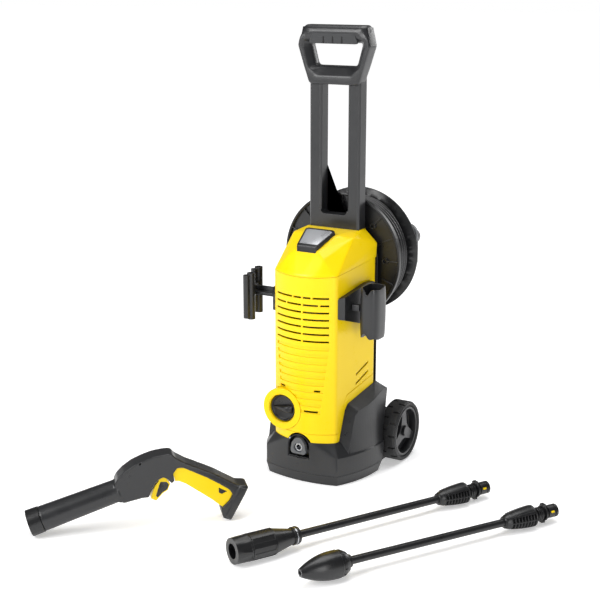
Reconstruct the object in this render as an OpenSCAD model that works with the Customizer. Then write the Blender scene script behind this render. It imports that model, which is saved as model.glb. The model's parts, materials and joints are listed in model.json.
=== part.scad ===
/* [Body] */
// Distance from the floor to the lower edge of the yellow body at the front
body_bottom = 80; // [78:1:84]
// Height of the seam between the yellow body and its cap, at the front
seam_z = 398; // [396:1:400]
// Half the width of the louvred front panel
front_half = 56; // [55:0.5:57]
// Thickness of the moulded walls
wall = 2.8; // [2.4:0.1:3]

/* [Louvres] */
// Number of open slots
slot_n = 7; // [5:1:7]
// Height of the top slot above the floor
slot_top_z = 360; // [356:1:362]
// Distance between two slots
slot_pitch = 13.67; // [13:0.01:13.7]
// Height of one slot
slot_h = 3.4; // [3:0.1:4]
// Number of closed grooves under the slots
groove_n = 10; // [8:1:10]

/* [Base] */
// Height of the black skirt
skirt_h = 20; // [18:1:22]
// Height of the ridge that runs round the base
ridge_z = 56; // [54:1:58]
// Half the width of the part of the base between the wheels
axle_block_half = 90; // [86:1:91]

/* [Wheels] */
// Radius of a wheel
wheel_r = 59; // [57:0.5:59]
// Width of a wheel
wheel_w = 35; // [33:1:35]
// Outer face of a wheel, from the middle of the machine
wheel_face_x = 130.5; // [130:0.5:132]
// Distance of the wheel axle behind the origin
wheel_y = 89; // [89:0.5:91]
// Radius of the axle
axle_r = 5; // [4.5:0.5:5]

/* [Handle] */
// Height of the top of the grip when the handle is pulled out
handle_top = 840; // [838:1:842]
// Travel of the handle down into the body
handle_travel = 250; // [200:5:255]
// Half the width of the sliding frame
frame_half = 52.9; // [52:0.1:53]

/* [Hose reel] */
// Height of the reel axis
reel_z = 404.65; // [404:0.05:405]
// Radius of the reel flanges
reel_r = 123.4; // [121:0.1:124]
// Front face of the reel, behind the origin
reel_y0 = 51.4; // [51.2:0.1:52]
// Outer diameter of the pressure hose
hose_d = 10.6; // [10:0.1:10.8]
// Turns of hose side by side in one layer
hose_turns = 6; // [5:1:6]

/* [Switch] */
// Radius of the ring round the rotary switch
ring_r = 40; // [38:0.5:40]
// Radius of the rotary knob
knob_r = 25; // [23:0.5:26]

/* [Gun and lances] */
// Radius of the muzzle of the trigger gun
muzzle_r = 23.5; // [22:0.5:23.5]
// Half the thickness of the gun body
gun_half = 17.5; // [17:0.5:19]
// Radius of the head of the adjustable lance
vario_r = 23; // [21.5:0.5:23]
// Length of the adjustable lance
vario_len = 527; // [515:1:535]
// Radius of the nozzle of the rotary-jet lance
jet_r = 23; // [22:0.5:23]
// Length of the rotary-jet lance
jet_len = 510; // [500:1:520]
// Radius of the lance tubes
tube_r = 6.8; // [6.5:0.1:7]

/* [Hidden] */

yellow = "#f8d800";
anthracite = "#3b3c3f";
black = "#1d1e20";
grey = "#6b6d70";
silver = "#b6b8bc";
brass = "#c8a04c";
steel = "#a9acb1";

eps = 0.01;
gap = 0.3;
fit = 0.05;
round_fn = 96;
small_fn = 48;

// Plan of the body: a bowed front, rounded corners and sides that open to the rear
front_y = -112;
front_sag = 17;
front_r = (front_half * front_half + front_sag * front_sag) / (2 * front_sag);
corner_half = 66;
corner_a = asin(corner_half / front_r);
body_corner_r = 12;
body_back_y = 45;
body_back_half = 82;
side_lean = atan((body_back_half - corner_half) / (body_back_y + 87));

// Side outline of the body: its lower edge climbs to the rear, and its seam rises
body_low = [
    [-125, body_bottom], [-76, body_bottom], [-68, 101], [-57, 140],
    [-48, 149], [-26, 154], [body_back_y + 2, 170]
];
seam_rise = 0.11;
seam_gap = 0.4;
seam_front_y = -125;
seam_back_z = seam_z + seam_rise * (body_back_y - front_y);

// Base: plan of its front and sides
base_front_y = -112;
base_corner = [77, -101.5];
base_side = [111, 15];
base_side_sag = 9;
base_back_y = 112;
base_back_z = 98;
base_chamfer_z = 81;

// Handle, grip and their guide
frame_y0 = 18.8;
frame_y1 = 45.9;
post_in = 27.5;
frame_z0 = 400;
grip_z0 = 733;
guide_gap = 0.4;
guide_z0 = frame_z0 - handle_travel - 10;

// Gap between the base and the body, and the base's shoulders seen from the side
body_plan_clear = 0.4;
shoulder_inner = [
    [-90, skirt_h - 2], [-76, body_bottom - 2], [-66, 112], [-57, 139], [-48, 148.5],
    [-26, 153.5], [body_back_y + 2, 169], [62, 158], [62, skirt_h - 2]
];
shoulder_outer = [
    [-80, skirt_h - 2], [-69, ridge_z], [-61, 90], [-53, 119], [-45, 127], [-34, 131],
    [body_back_y, 150], [62, 146], [62, skirt_h - 2]
];
axle_block_outline = [
    [12, skirt_h], [base_back_y, skirt_h], [base_back_y, 82], [96, base_back_z],
    [12, base_back_z]
];

// Cap: the plane that the badge lies on
badge_low = [-80, 451.5];
badge_tilt = 22;

// Water inlet and mains cord gland, on the back of the base
inlet_x = 38;
inlet_z = 60;
inlet_r = 13.2;
gland_r = 9;

// Plates on the body's sides, with the gun's pocket and the lances' tubes
plate_gap = 0.4;
plate_t = 9;
pocket_x = [94, 132];
pocket_y = [-62, -8];
pocket_z = [281, 378];
pocket_wall = 2.5;
tube_z = [286, 377];
tube_main = [[-139, -54], [-154, -2]];
tube_step = [-4.5, -9.5];
tube_main_r = 7.8;
tube_bore_r = 5;

// Grip, front to back, and the height of its window
grip_y0 = 12;
grip_y1 = 46;
grip_window = [767, 808];

// Reel stations along its axis
reel_web_y = 57;
reel_drum_y0 = 59.5;
reel_drum_y1 = reel_drum_y0 + hose_turns * hose_d + 0.6;
reel_drum_r = 92;
reel_back_y = 137;
spindle_r = 15;
crank_at = [92, 26];
crank_y0 = 138;

// Switch
ring_at = [-36, 139];
ring_y = -113;

// Outlet at the foot of the front, in an arched recess
outlet_z = 68.5;
outlet_bore_r = 5.2;
arch_r = 23.5;
arch_z = 70.5;
arch_bottom = 48;

// Pump and motor axes, and the gear pair between them
gear_module = 1.25;
pinion_teeth = 10;
gear_teeth = 36;
gear_distance = gear_module * (pinion_teeth + gear_teeth) / 2;
pump_y = -58;
motor_y = pump_y + gear_distance;
pump_r = 31;
pump_z0 = 50;
pump_z1 = 96;
case_z1 = 160;
piston_orbit = 17;
motor_r = 42;
shaft_r = 4;

// Trigger gun: where its muzzle stands, and the way it points
gun_at = [-280.3, -544.2];
gun_turn = 42.7;
barrel_rise = 17.1;
muzzle_z = 22.7;
trigger_pivot = [243.5, 106.5];
trigger_travel = 5.5;
release_pivot = [229, 96];
release_travel = 8;
trigger_half = 14.1;
release_half = 9;
cavity_half = 14.5;
lock_travel = 2.5;

// Pins moulded in the gun's shells: the trigger and the release lever turn on them
pin_r = 2.5;
small_pin_r = 1.5;

// Bayonet ends of the lances, and the gun's bore that they fit
nipple_r = 11.5;
nipple_len = 20;
shank_len = 46;
socket_bore_r = nipple_r + fit;

// Lances: where each front end lies, its heading, and its slight fall to the rear
vario_at = [78, -461.4, 24];
vario_turn = 60.95;
vario_fall = 0.55;
jet_at = [210.3, -470.7, 23.9];
jet_turn = 58.78;
jet_fall = 0.57;
vario_hub_z0 = 52;
cage_len = 66;
rotor_r = 7;

// ---- shared shapes ----

function arc(centre, r, a0, a1, n) = [
    for (i = [0:n]) centre + r * [cos(a0 + (a1 - a0) * i / n), sin(a0 + (a1 - a0) * i / n)]
];

// Points of an arc from p to q that bulges by sag to the right of the way from p to q
function bow(p, q, sag, n) =
    let (c = norm(q - p), r = (c * c / 4 + sag * sag) / (2 * sag), m = (p + q) / 2)
    let (d = (q - p) / c, side = [d[1], -d[0]], o = m - side * (r - sag))
    let (a = atan2(p[1] - o[1], p[0] - o[0]), b = 2 * asin(c / (2 * r)))
    [for (i = [0:n]) o + r * [cos(a + b * i / n), sin(a + b * i / n)]];

function mirror_x(points) = [for (i = [len(points) - 1:-1:0]) [-points[i][0], points[i][1]]];

module rod_y(x, z, y0, y1, r) {
    translate([x, y0, z]) rotate([-90, 0, 0]) cylinder(h = y1 - y0, r = r, $fn = round_fn);
}

module rod_x(y, z, x0, x1, r) {
    translate([x0, y, z]) rotate([0, 90, 0]) cylinder(h = x1 - x0, r = r, $fn = round_fn);
}

module rod_z(x, y, z0, z1, r) {
    translate([x, y, z0]) cylinder(h = z1 - z0, r = r, $fn = round_fn);
}

module block(x0, x1, y0, y1, z0, z1) {
    translate([x0, y0, z0]) cube([x1 - x0, y1 - y0, z1 - z0]);
}

// A side outline, drawn in Y and Z, carried across the machine
module across(x0, x1) {
    translate([x0, 0, 0]) rotate([90, 0, 90]) linear_extrude(x1 - x0) children();
}

// A front outline, drawn in X and Z, carried from y0 to y1
module along(y0, y1) {
    translate([0, y1, 0]) rotate([90, 0, 0]) linear_extrude(y1 - y0) children();
}

// A ring profile turned about an axis that points along +Y
module turned_y(x, z) {
    translate([x, 0, z]) rotate([-90, 0, 0]) rotate_extrude($fn = 180) children();
}

// A ring profile turned about an axis that points along +X
module turned_x(y, z) {
    translate([0, y, z]) rotate([0, 90, 0]) rotate_extrude($fn = 120) children();
}

module both_sides() {
    children();
    mirror([1, 0, 0]) children();
}

// One spring: a wire swept round and up a helix
module coil_spring(r, wire, h, turns) {
    steps = 14;
    sides = 6;
    n = steps * turns;
    ring = [
        for (i = [0:n]) for (k = [0:sides - 1])
            let (a = 360 * i / steps, w = 360 * k / sides, q = r + wire * cos(w))
            [q * cos(a), q * sin(a), wire + (h - 2 * wire) * i / n + wire * sin(w)]
    ];
    walls = [
        for (i = [0:n - 1]) for (k = [0:sides - 1])
            let (a = i * sides + k, b = i * sides + (k + 1) % sides)
            [a, a + sides, b + sides, b]
    ];
    caps = [[for (k = [0:sides - 1]) k], [for (k = [sides - 1:-1:0]) n * sides + k]];
    polyhedron(points = ring, faces = concat(walls, caps));
}

// ---- body ----

module body_plan(grow = 0) {
    centre = [0, front_y + front_r];
    front = arc(centre, front_r, 270 - corner_a, 270 + corner_a, 28);
    back = [[body_back_half, body_back_y], [-body_back_half, body_back_y]];
    offset(delta = grow)
        offset(r = body_corner_r, $fn = 64)
            offset(delta = -body_corner_r)
                polygon(concat(front, back));
}

// Height of the seam between body and cap at the station y
function seam_at(y) =
    let (rise = (seam_back_z - seam_z + 2) / (body_back_y + 2 - seam_front_y))
    seam_z - 2 + rise * (y - seam_front_y);

module body_side_outline() {
    polygon(concat(
        body_low,
        [[body_back_y + 2, seam_at(body_back_y + 2)], [seam_front_y, seam_at(seam_front_y)]]
    ));
}

module slot_cut(z, breaks) {
    half = 54.6;
    bridge = 1.6;
    edges = concat([-half - bridge], breaks, [half + bridge]);
    for (i = [0:len(edges) - 2])
        block(edges[i] + bridge, edges[i + 1] - bridge, front_y - 3, -84, z - slot_h / 2, z + slot_h / 2);
}

module groove_cut(z, half) {
    depth = 1.8;
    height = 6;
    translate([0, 0, z - height / 2])
        linear_extrude(height)
            intersection() {
                difference() {
                    body_plan(1);
                    body_plan(-depth);
                }
                translate([-half, front_y - 3]) square([2 * half, 40]);
            }
}

module louvres() {
    breaks = [[-13, 6.5, 25], [-28, 6.5, 38]];
    for (i = [0:slot_n - 1])
        slot_cut(slot_top_z - i * slot_pitch, i < len(breaks) ? breaks[i] : [6.5]);
    groove_z0 = slot_top_z - slot_n * slot_pitch;
    for (i = [0:groove_n - 1])
        groove_cut(groove_z0 - i * slot_pitch, 54.5 - 1.55 * i);
    short_slots = [[-44, -33, 6], [29, 40, 6], [10, 36, 9]];
    for (s = short_slots)
        block(s[0], s[1], front_y - 3, -84, groove_z0 - s[2] * slot_pitch - slot_h / 2,
            groove_z0 - s[2] * slot_pitch + slot_h / 2);
}

// Two long vents on each side, parallel to the lower edge
module side_vents() {
    vent_h = 4.5;
    for (z = [186, 204])
        across(60, 100)
            polygon([[-24, z - 8], [17, z + 8], [17, z + 8 + vent_h], [-24, z - 8 + vent_h]]);
}

module edge_groove() {
    depth = 1;
    line = 1.6;
    intersection() {
        translate([0, 0, body_bottom]) linear_extrude(140) difference() {
            body_plan(1);
            body_plan(-depth);
        }
        across(-100, 100) difference() {
            polygon(concat([for (p = body_low) p + [-3, 17 + line]], [[60, 60], [-130, 60]]));
            polygon(concat([for (p = body_low) p + [-3, 17]], [[60, 60], [-130, 60]]));
        }
    }
}

module front_housing() {
    color(yellow) difference() {
        intersection() {
            translate([0, 0, body_bottom]) linear_extrude(seam_back_z - body_bottom) difference() {
                body_plan();
                body_plan(-wall);
            }
            across(-90, 90) body_side_outline();
        }
        block(-body_back_half + 5, body_back_half - 5, body_back_y - 6, body_back_y + 1, 60, 420);
        louvres();
        side_vents();
        mirror([1, 0, 0]) side_vents();
        edge_groove();
        rod_y(ring_at[0], ring_at[1], front_y - 8, -71.8, ring_r + gap);
        outlet_arch(3, front_y - 8, -80);
    }
}

// The arched recess that the outlet sits in
module outlet_arch(grow, y0, y1) {
    along(y0, y1) offset(delta = grow) union() {
        translate([0, arch_z]) circle(r = arch_r, $fn = 96);
        translate([-arch_r, arch_bottom]) square([2 * arch_r, arch_z - arch_bottom]);
    }
}

module rear_housing() {
    plate_y0 = 46.3;
    plate_y1 = 48.7;
    guide_x = frame_half + guide_gap;
    guide_y = frame_y0 - guide_gap;
    color(black) difference() {
        union() {
            along(plate_y0, plate_y1) union() {
                offset(r = 14, $fn = 48) offset(delta = -14)
                    polygon([[-80, 100], [80, 100], [80, 428], [-80, 428]]);
                translate([-57, 300]) square([114, 162]);
            }
            block(-guide_x - wall, guide_x + wall, guide_y - wall, plate_y0 + eps, guide_z0 - 4, 438);
            for (z = [130, 200, 270])
                block(-59, 59, 36, plate_y0 + eps, z, z + wall);
        }
        block(-guide_x, guide_x, guide_y, plate_y0, guide_z0, 440);
        block(-guide_x + 12, guide_x - 12, guide_y - 5, guide_y, 150, 380);
        for (z = [112:8:126])
            block(-50, 50, plate_y0 - 1, plate_y1 + 1, z, z + 3);
        rod_y(0, reel_z, plate_y0 - 1, plate_y1 + 1, 8);
    }
}

// Half of the corner points of the cap, pushed in by a wall thickness t
function cap_points(t) = [
    [38 - 0.5 * t, -87.4 + t, 429.4 - t],
    [63.5 - t, -20.7, 460.1 - t],
    [60 - t, 9, 463.2 - t],
    [54 - 0.5 * t, 23, 466.3 - t],
    [54 - 0.5 * t, body_back_y, 466.3 - t],
    [80 - t, body_back_y, 441 - t],
    [30 - 0.4 * t, -33, 464 - t],
    [23 - 0.4 * t, -82, 442 - t]
];

module cap_block(t) {
    top = cap_points(t);
    dot = 0.05;
    hull() {
        translate([0, 0, seam_z - 3]) linear_extrude(6) body_plan(-t);
        translate([0, 0, seam_back_z - 4])
            linear_extrude(6)
                intersection() {
                    body_plan(-t);
                    translate([-100, -20]) square([200, 80]);
                }
        for (p = top) for (s = [-1, 1])
            translate([s * p[0], p[1], p[2]]) cube(dot, center = true);
    }
}

module top_cap() {
    slot_x = frame_half + 0.7;
    color(yellow) difference() {
        cap_block(0);
        cap_block(wall);
        across(-100, 100)
            polygon([
                [-130, 280], [60, 280], [60, seam_at(60) + seam_gap], [-130, seam_at(-130) + seam_gap]
            ]);
        block(-slot_x, slot_x, frame_y0 - 0.6, body_back_y + 1, 380, 480);
        block(-body_back_half + 4, body_back_half - 4, body_back_y - wall - 1, body_back_y + 1, 380, 438);
        badge_seat();
    }
}

// The badge lies on a plane that climbs to the rear
module on_badge_plane() {
    translate([0, badge_low[0], badge_low[1]]) rotate([badge_tilt, 0, 0]) children();
}

module badge_outline(grow) {
    offset(r = grow, $fn = 32)
        polygon([[-18, 0], [18, 0], [27, 48], [22, 51], [-22, 51], [-27, 48]]);
}

module badge_seat() {
    on_badge_plane() translate([0, 0, -16]) linear_extrude(30) badge_outline(1.5);
}

module badge_plate() {
    color(silver) on_badge_plane() translate([0, 0, -2]) linear_extrude(2.2) badge_outline(0);
}

module badge_frame() {
    skirt = 1.2;
    color(black) on_badge_plane() {
        difference() {
            translate([0, 0, -15]) linear_extrude(15) badge_outline(skirt);
            translate([0, 0, -2 - fit]) linear_extrude(10) badge_outline(fit);
            translate([0, 0, -20]) linear_extrude(14) badge_outline(-3);
        }
    }
}

// ---- switch ----

module switch_ring() {
    x = ring_at[0];
    z = ring_at[1];
    recess_r = knob_r + 2.2;
    face_y = ring_y + 15;
    color(yellow) difference() {
        union() {
            rod_y(x, z, ring_y, -91, ring_r);
            intersection() {
                rod_y(x, z, -91 - eps, -72, ring_r);
                block(-100, -69.5, -100, -60, 60, 220);
            }
        }
        rod_y(x, z, ring_y - 1, face_y - 3, recess_r);
        rod_y(x, z, ring_y - 1, ring_y + 1.4, recess_r + 1.4);
        rod_y(x, z, ring_y - 1, -60, shaft_r + 1);
        rod_y(x, z, face_y, -60, ring_r - 3);
        rod_y(x, z, face_y - eps, -60, 8);
    }
}

module switch_knob() {
    x = ring_at[0];
    z = ring_at[1];
    disc_y0 = ring_y + 4;
    disc_y1 = ring_y + 11;
    color(black) {
        rod_y(x, z, disc_y0 + 2, disc_y1, knob_r);
        difference() {
            rod_y(x, z, disc_y0 - 1, disc_y0 + 2 + eps, knob_r);
            rod_y(x, z, disc_y0 - 2, disc_y0 + 3, knob_r - 3);
        }
        translate([x, disc_y0 + 2 + eps, z - 8])
            linear_extrude(16)
                polygon([[-21, 0], [-19, -2], [9, -9], [15, -8], [20, -2], [20, 0]]);
        rod_y(x, z, disc_y1 - eps, -82, shaft_r);
    }
}

module switch_box() {
    x = ring_at[0];
    z = ring_at[1];
    color(black) difference() {
        block(x - 17, x + 11, -96.5, -80, z - 16, z + 16);
        rod_y(x, z, -98, -81.5, shaft_r + fit);
    }
}

// ---- base ----

module base_front_plan(grow = 0) {
    front = bow([-base_corner[0], base_corner[1]], base_corner, 12, 20);
    side = bow(base_corner, base_side, base_side_sag, 16);
    back = [[base_side[0], base_back_y], [-base_side[0], base_back_y]];
    offset(delta = grow)
        offset(r = 7, $fn = 48)
            offset(delta = -7)
                polygon(concat(front, side, back, mirror_x(side)));
}

module wheel_room() {
    clear = 4;
    both_sides() {
        rod_x(wheel_y, wheel_r, axle_block_half, 140, wheel_r + clear);
        block(axle_block_half, 140, wheel_y - 30, 160, -1, 170);
        across(axle_block_half, 140)
            polygon([[11, -1], [24, 40], [31, 80], [42, 110], [57, 153], [57, 200], [160, 200], [160, -1]]);
    }
}

module base_plate() {
    lean = 5;
    color(black) difference() {
        hull() {
            linear_extrude(eps) base_front_plan(-lean);
            translate([0, 0, skirt_h - eps]) linear_extrude(eps) base_front_plan(0.5);
        }
        translate([0, 0, 4]) linear_extrude(skirt_h) difference() {
            base_front_plan(-lean - 4);
            for (s = [-1, 1]) translate([s * 101 - 14, 0]) square([28, 120]);
        }
        wheel_room();
    }
}

module base_tub() {
    ridge_block = ridge_z - skirt_h;
    color(anthracite) difference() {
        union() {
            difference() {
                union() {
                    hull() {
                        translate([0, 0, skirt_h]) linear_extrude(ridge_block) base_front_plan();
                        translate([0, 0, base_chamfer_z - eps]) linear_extrude(eps)
                            body_plan(body_plan_clear + 1);
                    }
                    base_shoulders(0);
                    across(-axle_block_half, axle_block_half) polygon(axle_block_outline);
                }
                translate([0, 0, skirt_h - 1]) linear_extrude(ridge_block - 4) base_front_plan(-wall);
                difference() {
                    base_shoulders(wall);
                    translate([0, 0, skirt_h]) linear_extrude(200) body_plan(body_plan_clear + wall);
                }
                across(-axle_block_half, axle_block_half) offset(delta = -wall) polygon(axle_block_outline);
            }
            both_sides() difference() {
                block(71, axle_block_half, wheel_y - 20, base_back_y - wall, skirt_h, base_back_z - wall);
                across(60, 100) polygon([[100, 100], [130, 100], [130, 70]]);
            }
            both_sides() across(86, axle_block_half) polygon(axle_block_outline);
        }
        translate([0, 0, 50]) linear_extrude(200) body_plan(-wall);
        body_room();
        wheel_room();
        rod_x(wheel_y, wheel_r, -120, 120, axle_r + fit);
        outlet_arch(0, base_front_y - 12, -90);
        rod_y(inlet_x, inlet_z, 100, 120, inlet_r + gap);
        rod_y(-inlet_x, inlet_z, 100, 120, gland_r);
        block(-body_back_half, body_back_half, body_back_y, 49.2, base_back_z, 200);
    }
}

// The yellow body's outer shape, with room round it
module body_room() {
    intersection() {
        translate([0, 0, body_bottom - 0.5]) linear_extrude(200) body_plan(body_plan_clear);
        across(-90, 90) offset(delta = body_plan_clear) body_side_outline();
    }
}

// Shoulders beside the body: they fall outwards from its lower edge and lean in as they rise
module base_shoulders(t) {
    z0 = t > 0 ? skirt_h - 1 : skirt_h;
    intersection() {
        hull() {
            translate([0, 0, z0]) linear_extrude(eps) base_front_plan(-t);
            translate([0, 0, 175]) linear_extrude(eps) base_front_plan(-12 - t);
        }
        both_sides() hull() {
            on_side(-20, 20) offset(delta = -t) polygon(shoulder_inner);
            across(95, 112) offset(delta = -t) polygon(shoulder_outer);
        }
    }
}

// ---- water and power connections ----

module outlet_bezel() {
    color(black) difference() {
        outlet_arch(-gap, -111, -90.5);
        outlet_arch(-gap - 1.6, -112, -97);
        rod_y(0, outlet_z, -104, -80, 9.2);
    }
}

module outlet_socket() {
    color(steel) difference() {
        union() {
            rod_y(0, outlet_z, -110, pump_y - pump_r + 0.5, 8.6);
            rod_y(0, outlet_z, -112, -110 + eps, 7.4);
        }
        rod_y(0, outlet_z, -113, pump_y - pump_r - 2, outlet_bore_r);
        rod_z(0, pump_y, 40, 110, pump_r + fit);
    }
}

// The grey release pod: a rounded triangle with a hole for the hose end
module outlet_release() {
    color(grey) difference() {
        along(-115, -106) offset(r = 7, $fn = 48)
            polygon([[-9.5, outlet_z - 6], [9.5, outlet_z - 6], [7.5, outlet_z + 5], [2.5, outlet_z + 12],
                [-2.5, outlet_z + 12], [-7.5, outlet_z + 5]]);
        rod_y(0, outlet_z, -120, -100, 8.6 + gap);
    }
}

module water_inlet() {
    color(black) difference() {
        union() {
            rod_y(inlet_x, inlet_z, 96, 131, inlet_r);
            rod_y(inlet_x, inlet_z, base_back_y + fit, base_back_y + 4, inlet_r + 3.5);
        }
        rod_y(inlet_x, inlet_z, 100, 140, inlet_r - 3);
    }
}

module inlet_strainer() {
    color(silver) difference() {
        rod_y(inlet_x, inlet_z, 108, 126, inlet_r - 3 - fit);
        rod_y(inlet_x, inlet_z, 110, 130, inlet_r - 5);
        for (a = [0:30:150]) for (y = [112:4:122])
            translate([inlet_x, y, inlet_z]) rotate([0, a, 0]) cube([40, 2, 3], center = true);
    }
}

module cable_gland() {
    color(black) difference() {
        union() {
            rod_y(-inlet_x, inlet_z, 100, base_back_y, gland_r - fit);
            rod_y(-inlet_x, inlet_z, base_back_y + fit, base_back_y + 5, gland_r + 3);
            rod_y(-inlet_x, inlet_z, base_back_y, base_back_y + 1, gland_r - fit);
        }
        rod_y(-inlet_x, inlet_z, 90, 130, 3.6);
    }
}

// ---- pump, gear and motor ----

module pump_block() {
    color(silver) difference() {
        union() {
            rod_z(0, pump_y, pump_z0, pump_z1, pump_r);
            block(-40, 40, pump_y - 12, pump_y + 12, pump_z0, pump_z0 + 8);
            for (s = [-1, 1])
                rod_z(s * 34, pump_y, 4, pump_z0 + eps, 6);
        }
        for (i = [0:2])
            rotate_about(0, pump_y, 120 * i + 90)
                rod_z(piston_orbit, 0, pump_z0 + 10, pump_z1 + 1, 6 + fit);
        rod_y(0, outlet_z, pump_y - pump_r - 1, pump_y - 6, 4);
    }
}

module rotate_about(x, y, a) {
    translate([x, y, 0]) rotate([0, 0, a]) children();
}

module pump_pistons() {
    color(steel) for (i = [0:2])
        rotate_about(0, pump_y, 120 * i + 90) {
            rod_z(piston_orbit, 0, pump_z0 + 14, 114, 6);
            rod_z(piston_orbit, 0, 114 - eps, 116, 8.5);
        }
}

module piston_springs() {
    color(steel) for (i = [0:2])
        rotate_about(0, pump_y, 120 * i + 90)
            translate([piston_orbit, 0, pump_z1 + 0.2])
                coil_spring(7.6, 0.9, 114 - pump_z1 - 0.4, 5);
}

module case_plan(grow) {
    offset(delta = grow, $fn = round_fn) hull() {
        translate([0, pump_y]) circle(r = 28, $fn = round_fn);
        translate([0, motor_y]) circle(r = 18, $fn = round_fn);
    }
}

module gear_case() {
    color(silver) difference() {
        union() {
            translate([0, 0, pump_z1]) linear_extrude(case_z1 - pump_z1) case_plan(wall);
            rod_z(0, motor_y, case_z1 - eps, case_z1 + 8, 13);
        }
        difference() {
            translate([0, 0, pump_z1 + 3]) linear_extrude(case_z1 - pump_z1 - 6) case_plan(0);
            rod_z(0, pump_y, 150, case_z1, 10);
        }
        rod_z(0, pump_y, pump_z1 - 1, pump_z1 + 4, 27);
        rod_z(0, pump_y, 100, case_z1 - 4, 5 + fit);
        rod_z(0, motor_y, 150, case_z1 + 10, shaft_r + 1);
        rod_z(0, motor_y, case_z1 + 1, case_z1 + 10, 11 + fit);
    }
}

// A spur gear with straight-flanked teeth, thin enough to run free
module gear_plan(teeth) {
    pitch_r = gear_module * teeth / 2;
    root_r = pitch_r - 1.25 * gear_module;
    tip_r = pitch_r + 0.85 * gear_module;
    circle(r = root_r, $fn = round_fn);
    for (i = [0:teeth - 1])
        rotate(360 * i / teeth)
            polygon([
                [root_r - 0.3, -0.42 * gear_module * PI / 2],
                [tip_r, -0.14 * gear_module * PI / 2],
                [tip_r, 0.14 * gear_module * PI / 2],
                [root_r - 0.3, 0.42 * gear_module * PI / 2]
            ]);
}

module wobble_gear() {
    disc_tilt = 7;
    color(steel) difference() {
        union() {
            translate([0, pump_y, 140]) rotate([0, 0, 90 + 180 / gear_teeth])
                linear_extrude(9) gear_plan(gear_teeth);
            rod_z(0, pump_y, 124, 140 + eps, 9);
            translate([0, pump_y, 124]) rotate([disc_tilt, 0, 0])
                translate([0, 0, -2.5]) cylinder(h = 5, r = 25.5, $fn = round_fn);
            rod_z(0, pump_y, 149 - eps, case_z1 - 4.5, 5);
        }
        for (i = [0:5])
            rotate_about(0, pump_y, 60 * i)
                rod_z(15, 0, 135, 155, 3.4);
    }
}

module motor_rotor() {
    color(steel) {
        rod_z(0, motor_y, 137, 336, shaft_r - fit);
        translate([0, motor_y, 139]) rotate([0, 0, 90]) linear_extrude(11) gear_plan(pinion_teeth);
    }
    color(brass) difference() {
        rod_z(0, motor_y, 196, 262, 26);
        for (i = [0:11])
            rotate_about(0, motor_y, 30 * i)
                translate([24, -1.5, 195]) cube([4, 3, 70]);
    }
    color(brass) rod_z(0, motor_y, 272, 286, 14);
}

module cooling_fan() {
    color(black) difference() {
        union() {
            rod_z(0, motor_y, 300, 303, 37);
            rod_z(0, motor_y, 300, 314, 9);
            for (i = [0:8])
                rotate_about(0, motor_y, 40 * i)
                    translate([8, -1, 302]) rotate([0, 0, 20]) cube([26, 2, 12]);
        }
        rod_z(0, motor_y, 290, 330, shaft_r - fit);
    }
}

module motor_stator() {
    color(steel) difference() {
        rod_z(0, motor_y, 194, 264, motor_r - 3 - fit);
        rod_z(0, motor_y, 190, 270, 27);
    }
}

module motor_housing() {
    color(black) difference() {
        union() {
            rod_z(0, motor_y, case_z1 + 8 + fit, 340, motor_r);
            for (s = [-1, 1])
                block(s * 41 - 14, s * 41 + 14, motor_y - 5, motor_y + 5, 176, 182);
        }
        rod_z(0, motor_y, 176, 328, motor_r - 3);
        rod_z(0, motor_y, 160, 350, shaft_r + 1);
        rod_z(0, motor_y, 327, 336, 11 + fit);
        for (i = [0:5])
            rotate_about(0, motor_y, 60 * i + 30) {
                translate([motor_r - 6, -8, 184]) cube([10, 16, 6]);
                translate([motor_r - 6, -8, 298]) cube([10, 16, 18]);
            }
    }
}

module motor_bearings() {
    color(steel) for (z = [case_z1 + 1, 329])
        difference() {
            rod_z(0, motor_y, z, z + 6.5, 11);
            rod_z(0, motor_y, z - 1, z + 8, shaft_r);
        }
}

module capacitor() {
    at = [-46, -80];
    color(grey) difference() {
        union() {
            rod_z(at[0], at[1], 215, 262, 11);
            rod_z(at[0], at[1], 262 - eps, 268, 4);
            rotate_about(0, motor_y, atan2(at[1] - motor_y, at[0]))
                translate([motor_r - 3, -6, 232]) cube([20, 12, 8]);
        }
        rod_z(0, motor_y, 200, 280, motor_r + fit);
    }
}

// ---- wheels ----

module wheel_axle() {
    color(steel) rod_x(wheel_y, wheel_r, -wheel_face_x + 4, wheel_face_x - 4, axle_r);
}

module axle_caps() {
    color(black) both_sides() difference() {
        rod_x(wheel_y, wheel_r, wheel_face_x - 8, wheel_face_x - 2, 10);
        rod_x(wheel_y, wheel_r, wheel_face_x - 9, wheel_face_x - 4, axle_r);
    }
}

module rim_half() {
    x0 = wheel_face_x - wheel_w;
    x1 = wheel_face_x;
    tread_in = wheel_r - 8;
    color(anthracite) difference() {
        union() {
            turned_x(wheel_y, wheel_r) polygon([
                [46, x0 + 1], [tread_in, x0 + 1], [tread_in, x1 - 4], [47, x1 - 1.5], [44, x1 - 2],
                [43, x1 - 9], [43, x0 + 10]
            ]);
            rod_x(wheel_y, wheel_r, x1 - 22, x1 - 17, 44);
            rod_x(wheel_y, wheel_r, x0 - 2, x1 - 8 - gap, 13);
            spokes(x1 - 18, x1 - 7);
        }
        rod_x(wheel_y, wheel_r, 80, 150, axle_r + fit);
        rod_x(wheel_y, wheel_r, x1 - 8 - gap, x1 + 1, 10.6);
    }
}

// Three broad spokes with hollow sides, as one plate
module spokes(x0, x1) {
    translate([x0, wheel_y, wheel_r]) rotate([0, 90, 0]) linear_extrude(x1 - x0)
        offset(r = -6, $fn = 48) offset(r = 6, $fn = 48) union() {
            circle(r = 17, $fn = 64);
            for (i = [0:2])
                rotate(120 * i + 60) polygon([[0, -14], [43.5, -7], [43.5, 7], [0, 14]]);
        }
}

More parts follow.
